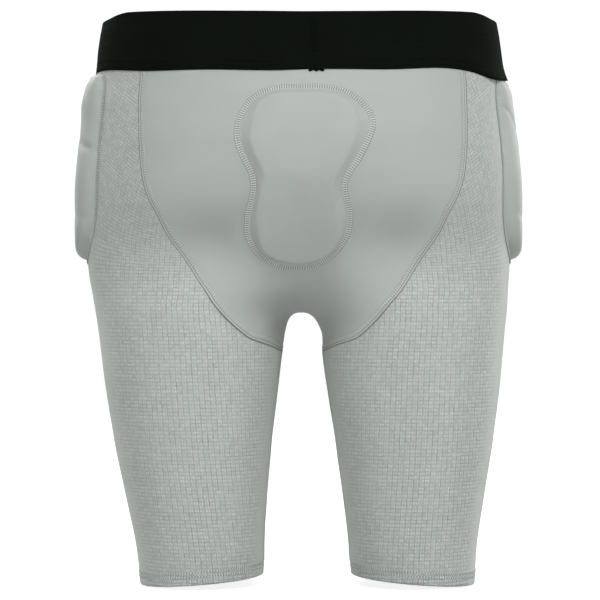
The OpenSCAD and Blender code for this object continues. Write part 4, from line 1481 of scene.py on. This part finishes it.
def make_floor():
    floor_z = min(min(v.co.z for v in piece.data.vertices) for piece in PIECES) - 0.0003
    n = FLOOR_POINTS
    ticks = np.linspace(-FLOOR_HALF, FLOOR_HALF, n)
    mesh = bpy.data.meshes.new("floor")
    mesh.from_pydata([(x, y, floor_z) for y in ticks for x in ticks], [],
                     grid_faces(n, n, 0, True))
    mesh.update()
    floor = bpy.data.objects.new("floor", mesh)
    bpy.context.scene.collection.objects.link(floor)

    # grey to the light, near white to the camera
    material = empty_material("floor")
    tree = material.node_tree
    output = add_node(tree, "OutputMaterial")
    both = add_node(tree, "AddShader")
    diffuse = add_node(tree, "BsdfDiffuse")
    diffuse.inputs[0].default_value = (0.42, 0.42, 0.42, 1)
    glow = add_node(tree, "Emission")
    glow.inputs[0].default_value = (1, 1, 1, 1)
    path = add_node(tree, "LightPath")
    strength = add_node(tree, "Math", operation="MULTIPLY")
    strength.inputs[1].default_value = 0.85
    tree.links.new(path.outputs["Is Camera Ray"], strength.inputs[0])
    tree.links.new(strength.outputs[0], glow.inputs[1])
    tree.links.new(diffuse.outputs[0], both.inputs[0])
    tree.links.new(glow.outputs[0], both.inputs[1])
    tree.links.new(both.outputs[0], output.inputs[0])
    mesh.materials.append(material)


def make_world():
    """Sky that brightens upwards."""
    world = bpy.context.scene.world or bpy.data.worlds.new("World")
    bpy.context.scene.world = world
    world.use_nodes = True
    tree = world.node_tree
    background = tree.nodes.get("Background") or add_node(tree, "Background")
    background.inputs[0].default_value = (0.97, 0.985, 1.0, 1)
    place = add_node(tree, "TexCoord")
    split = add_node(tree, "SeparateXYZ")
    ramp = add_node(tree, "MapRange", interpolation_type="SMOOTHSTEP")
    # from low, from high, to low, to high
    for i, value in enumerate((-0.35, 0.7, SKY_LOW, SKY_HIGH), 1):
        ramp.inputs[i].default_value = value
    path = add_node(tree, "LightPath")
    seen = add_node(tree, "Mix", data_type="FLOAT")
    seen.inputs[3].default_value = SKY_SEEN
    tree.links.new(place.outputs["Generated"], split.inputs[0])
    tree.links.new(split.outputs[2], ramp.inputs[0])
    tree.links.new(path.outputs["Is Camera Ray"], seen.inputs[0])
    tree.links.new(ramp.outputs[0], seen.inputs[2])
    tree.links.new(seen.outputs[0], background.inputs[1])


make_floor()
make_world()


# ---------------------------------------------------------------- lights and camera, metres
def area_light(name, location, target, size, power, spread=180):
    light = bpy.data.lights.new(name, "AREA")
    light.shape = "SQUARE"
    light.size = size
    light.energy = power
    light.spread = math.radians(spread)
    obj = bpy.data.objects.new(name, light)
    bpy.context.scene.collection.objects.link(obj)
    obj.location = location
    aim = Vector(target) - Vector(location)
    obj.rotation_euler = aim.to_track_quat("-Z", "Y").to_euler()


area_light("key", location=(-0.45, 2.3, 2.3), target=(0, 0, -0.2), size=1.2, power=66)
area_light("side_r", location=(-2.4, 0.6, 0.2), target=(0, 0, -0.3), size=1.2, power=9.5)
area_light("side_l", location=(2.0, 0.8, 1.3), target=(0, 0, -0.2), size=1.2, power=4.5)
area_light("low", location=(0.3, 2.6, -0.7), target=(0, 0, -0.4), size=1.2, power=20)
area_light("legs", location=(0.1, 2.4, -0.6), target=(0, 0, -0.54), size=0.6, power=0.75,
           spread=20)
area_light("front_key", location=(1.4, -1.7, 1.7), target=(0, 0, -0.2), size=1.4, power=56)
area_light("front_fill", location=(-1.6, -1.6, 0.6), target=(0, 0, -0.25), size=1.4, power=20)

CAMERA_DISTANCE = 2.45
VIEW_WIDTH = 0.51                    # width seen at the garment
SENSOR_WIDTH = 36.0                  # mm
CAMERA_ROLL = math.radians(0.05)


def make_camera():
    """Looks at the back of the garment along -Y."""
    data = bpy.data.cameras.new("camera")
    camera = bpy.data.objects.new("camera", data)
    bpy.context.scene.collection.objects.link(camera)
    bpy.context.scene.camera = camera
    data.sensor_width = SENSOR_WIDTH
    data.lens = SENSOR_WIDTH * CAMERA_DISTANCE / VIEW_WIDTH
    data.clip_end = 50
    right, up, back = Vector((-1, 0, 0)), Vector((0, 0, 1)), Vector((0, 1, 0))
    rolled_right = right * math.cos(CAMERA_ROLL) - up * math.sin(CAMERA_ROLL)
    rolled_up = up * math.cos(CAMERA_ROLL) + right * math.sin(CAMERA_ROLL)
    turn = Matrix((rolled_right, rolled_up, back)).transposed().to_4x4()
    camera.matrix_world = Matrix.Translation((0.0003, CAMERA_DISTANCE, -0.2363)) @ turn


make_camera()
bpy.context.scene.view_settings.view_transform = "Standard"
bpy.context.scene.view_settings.look = "None"
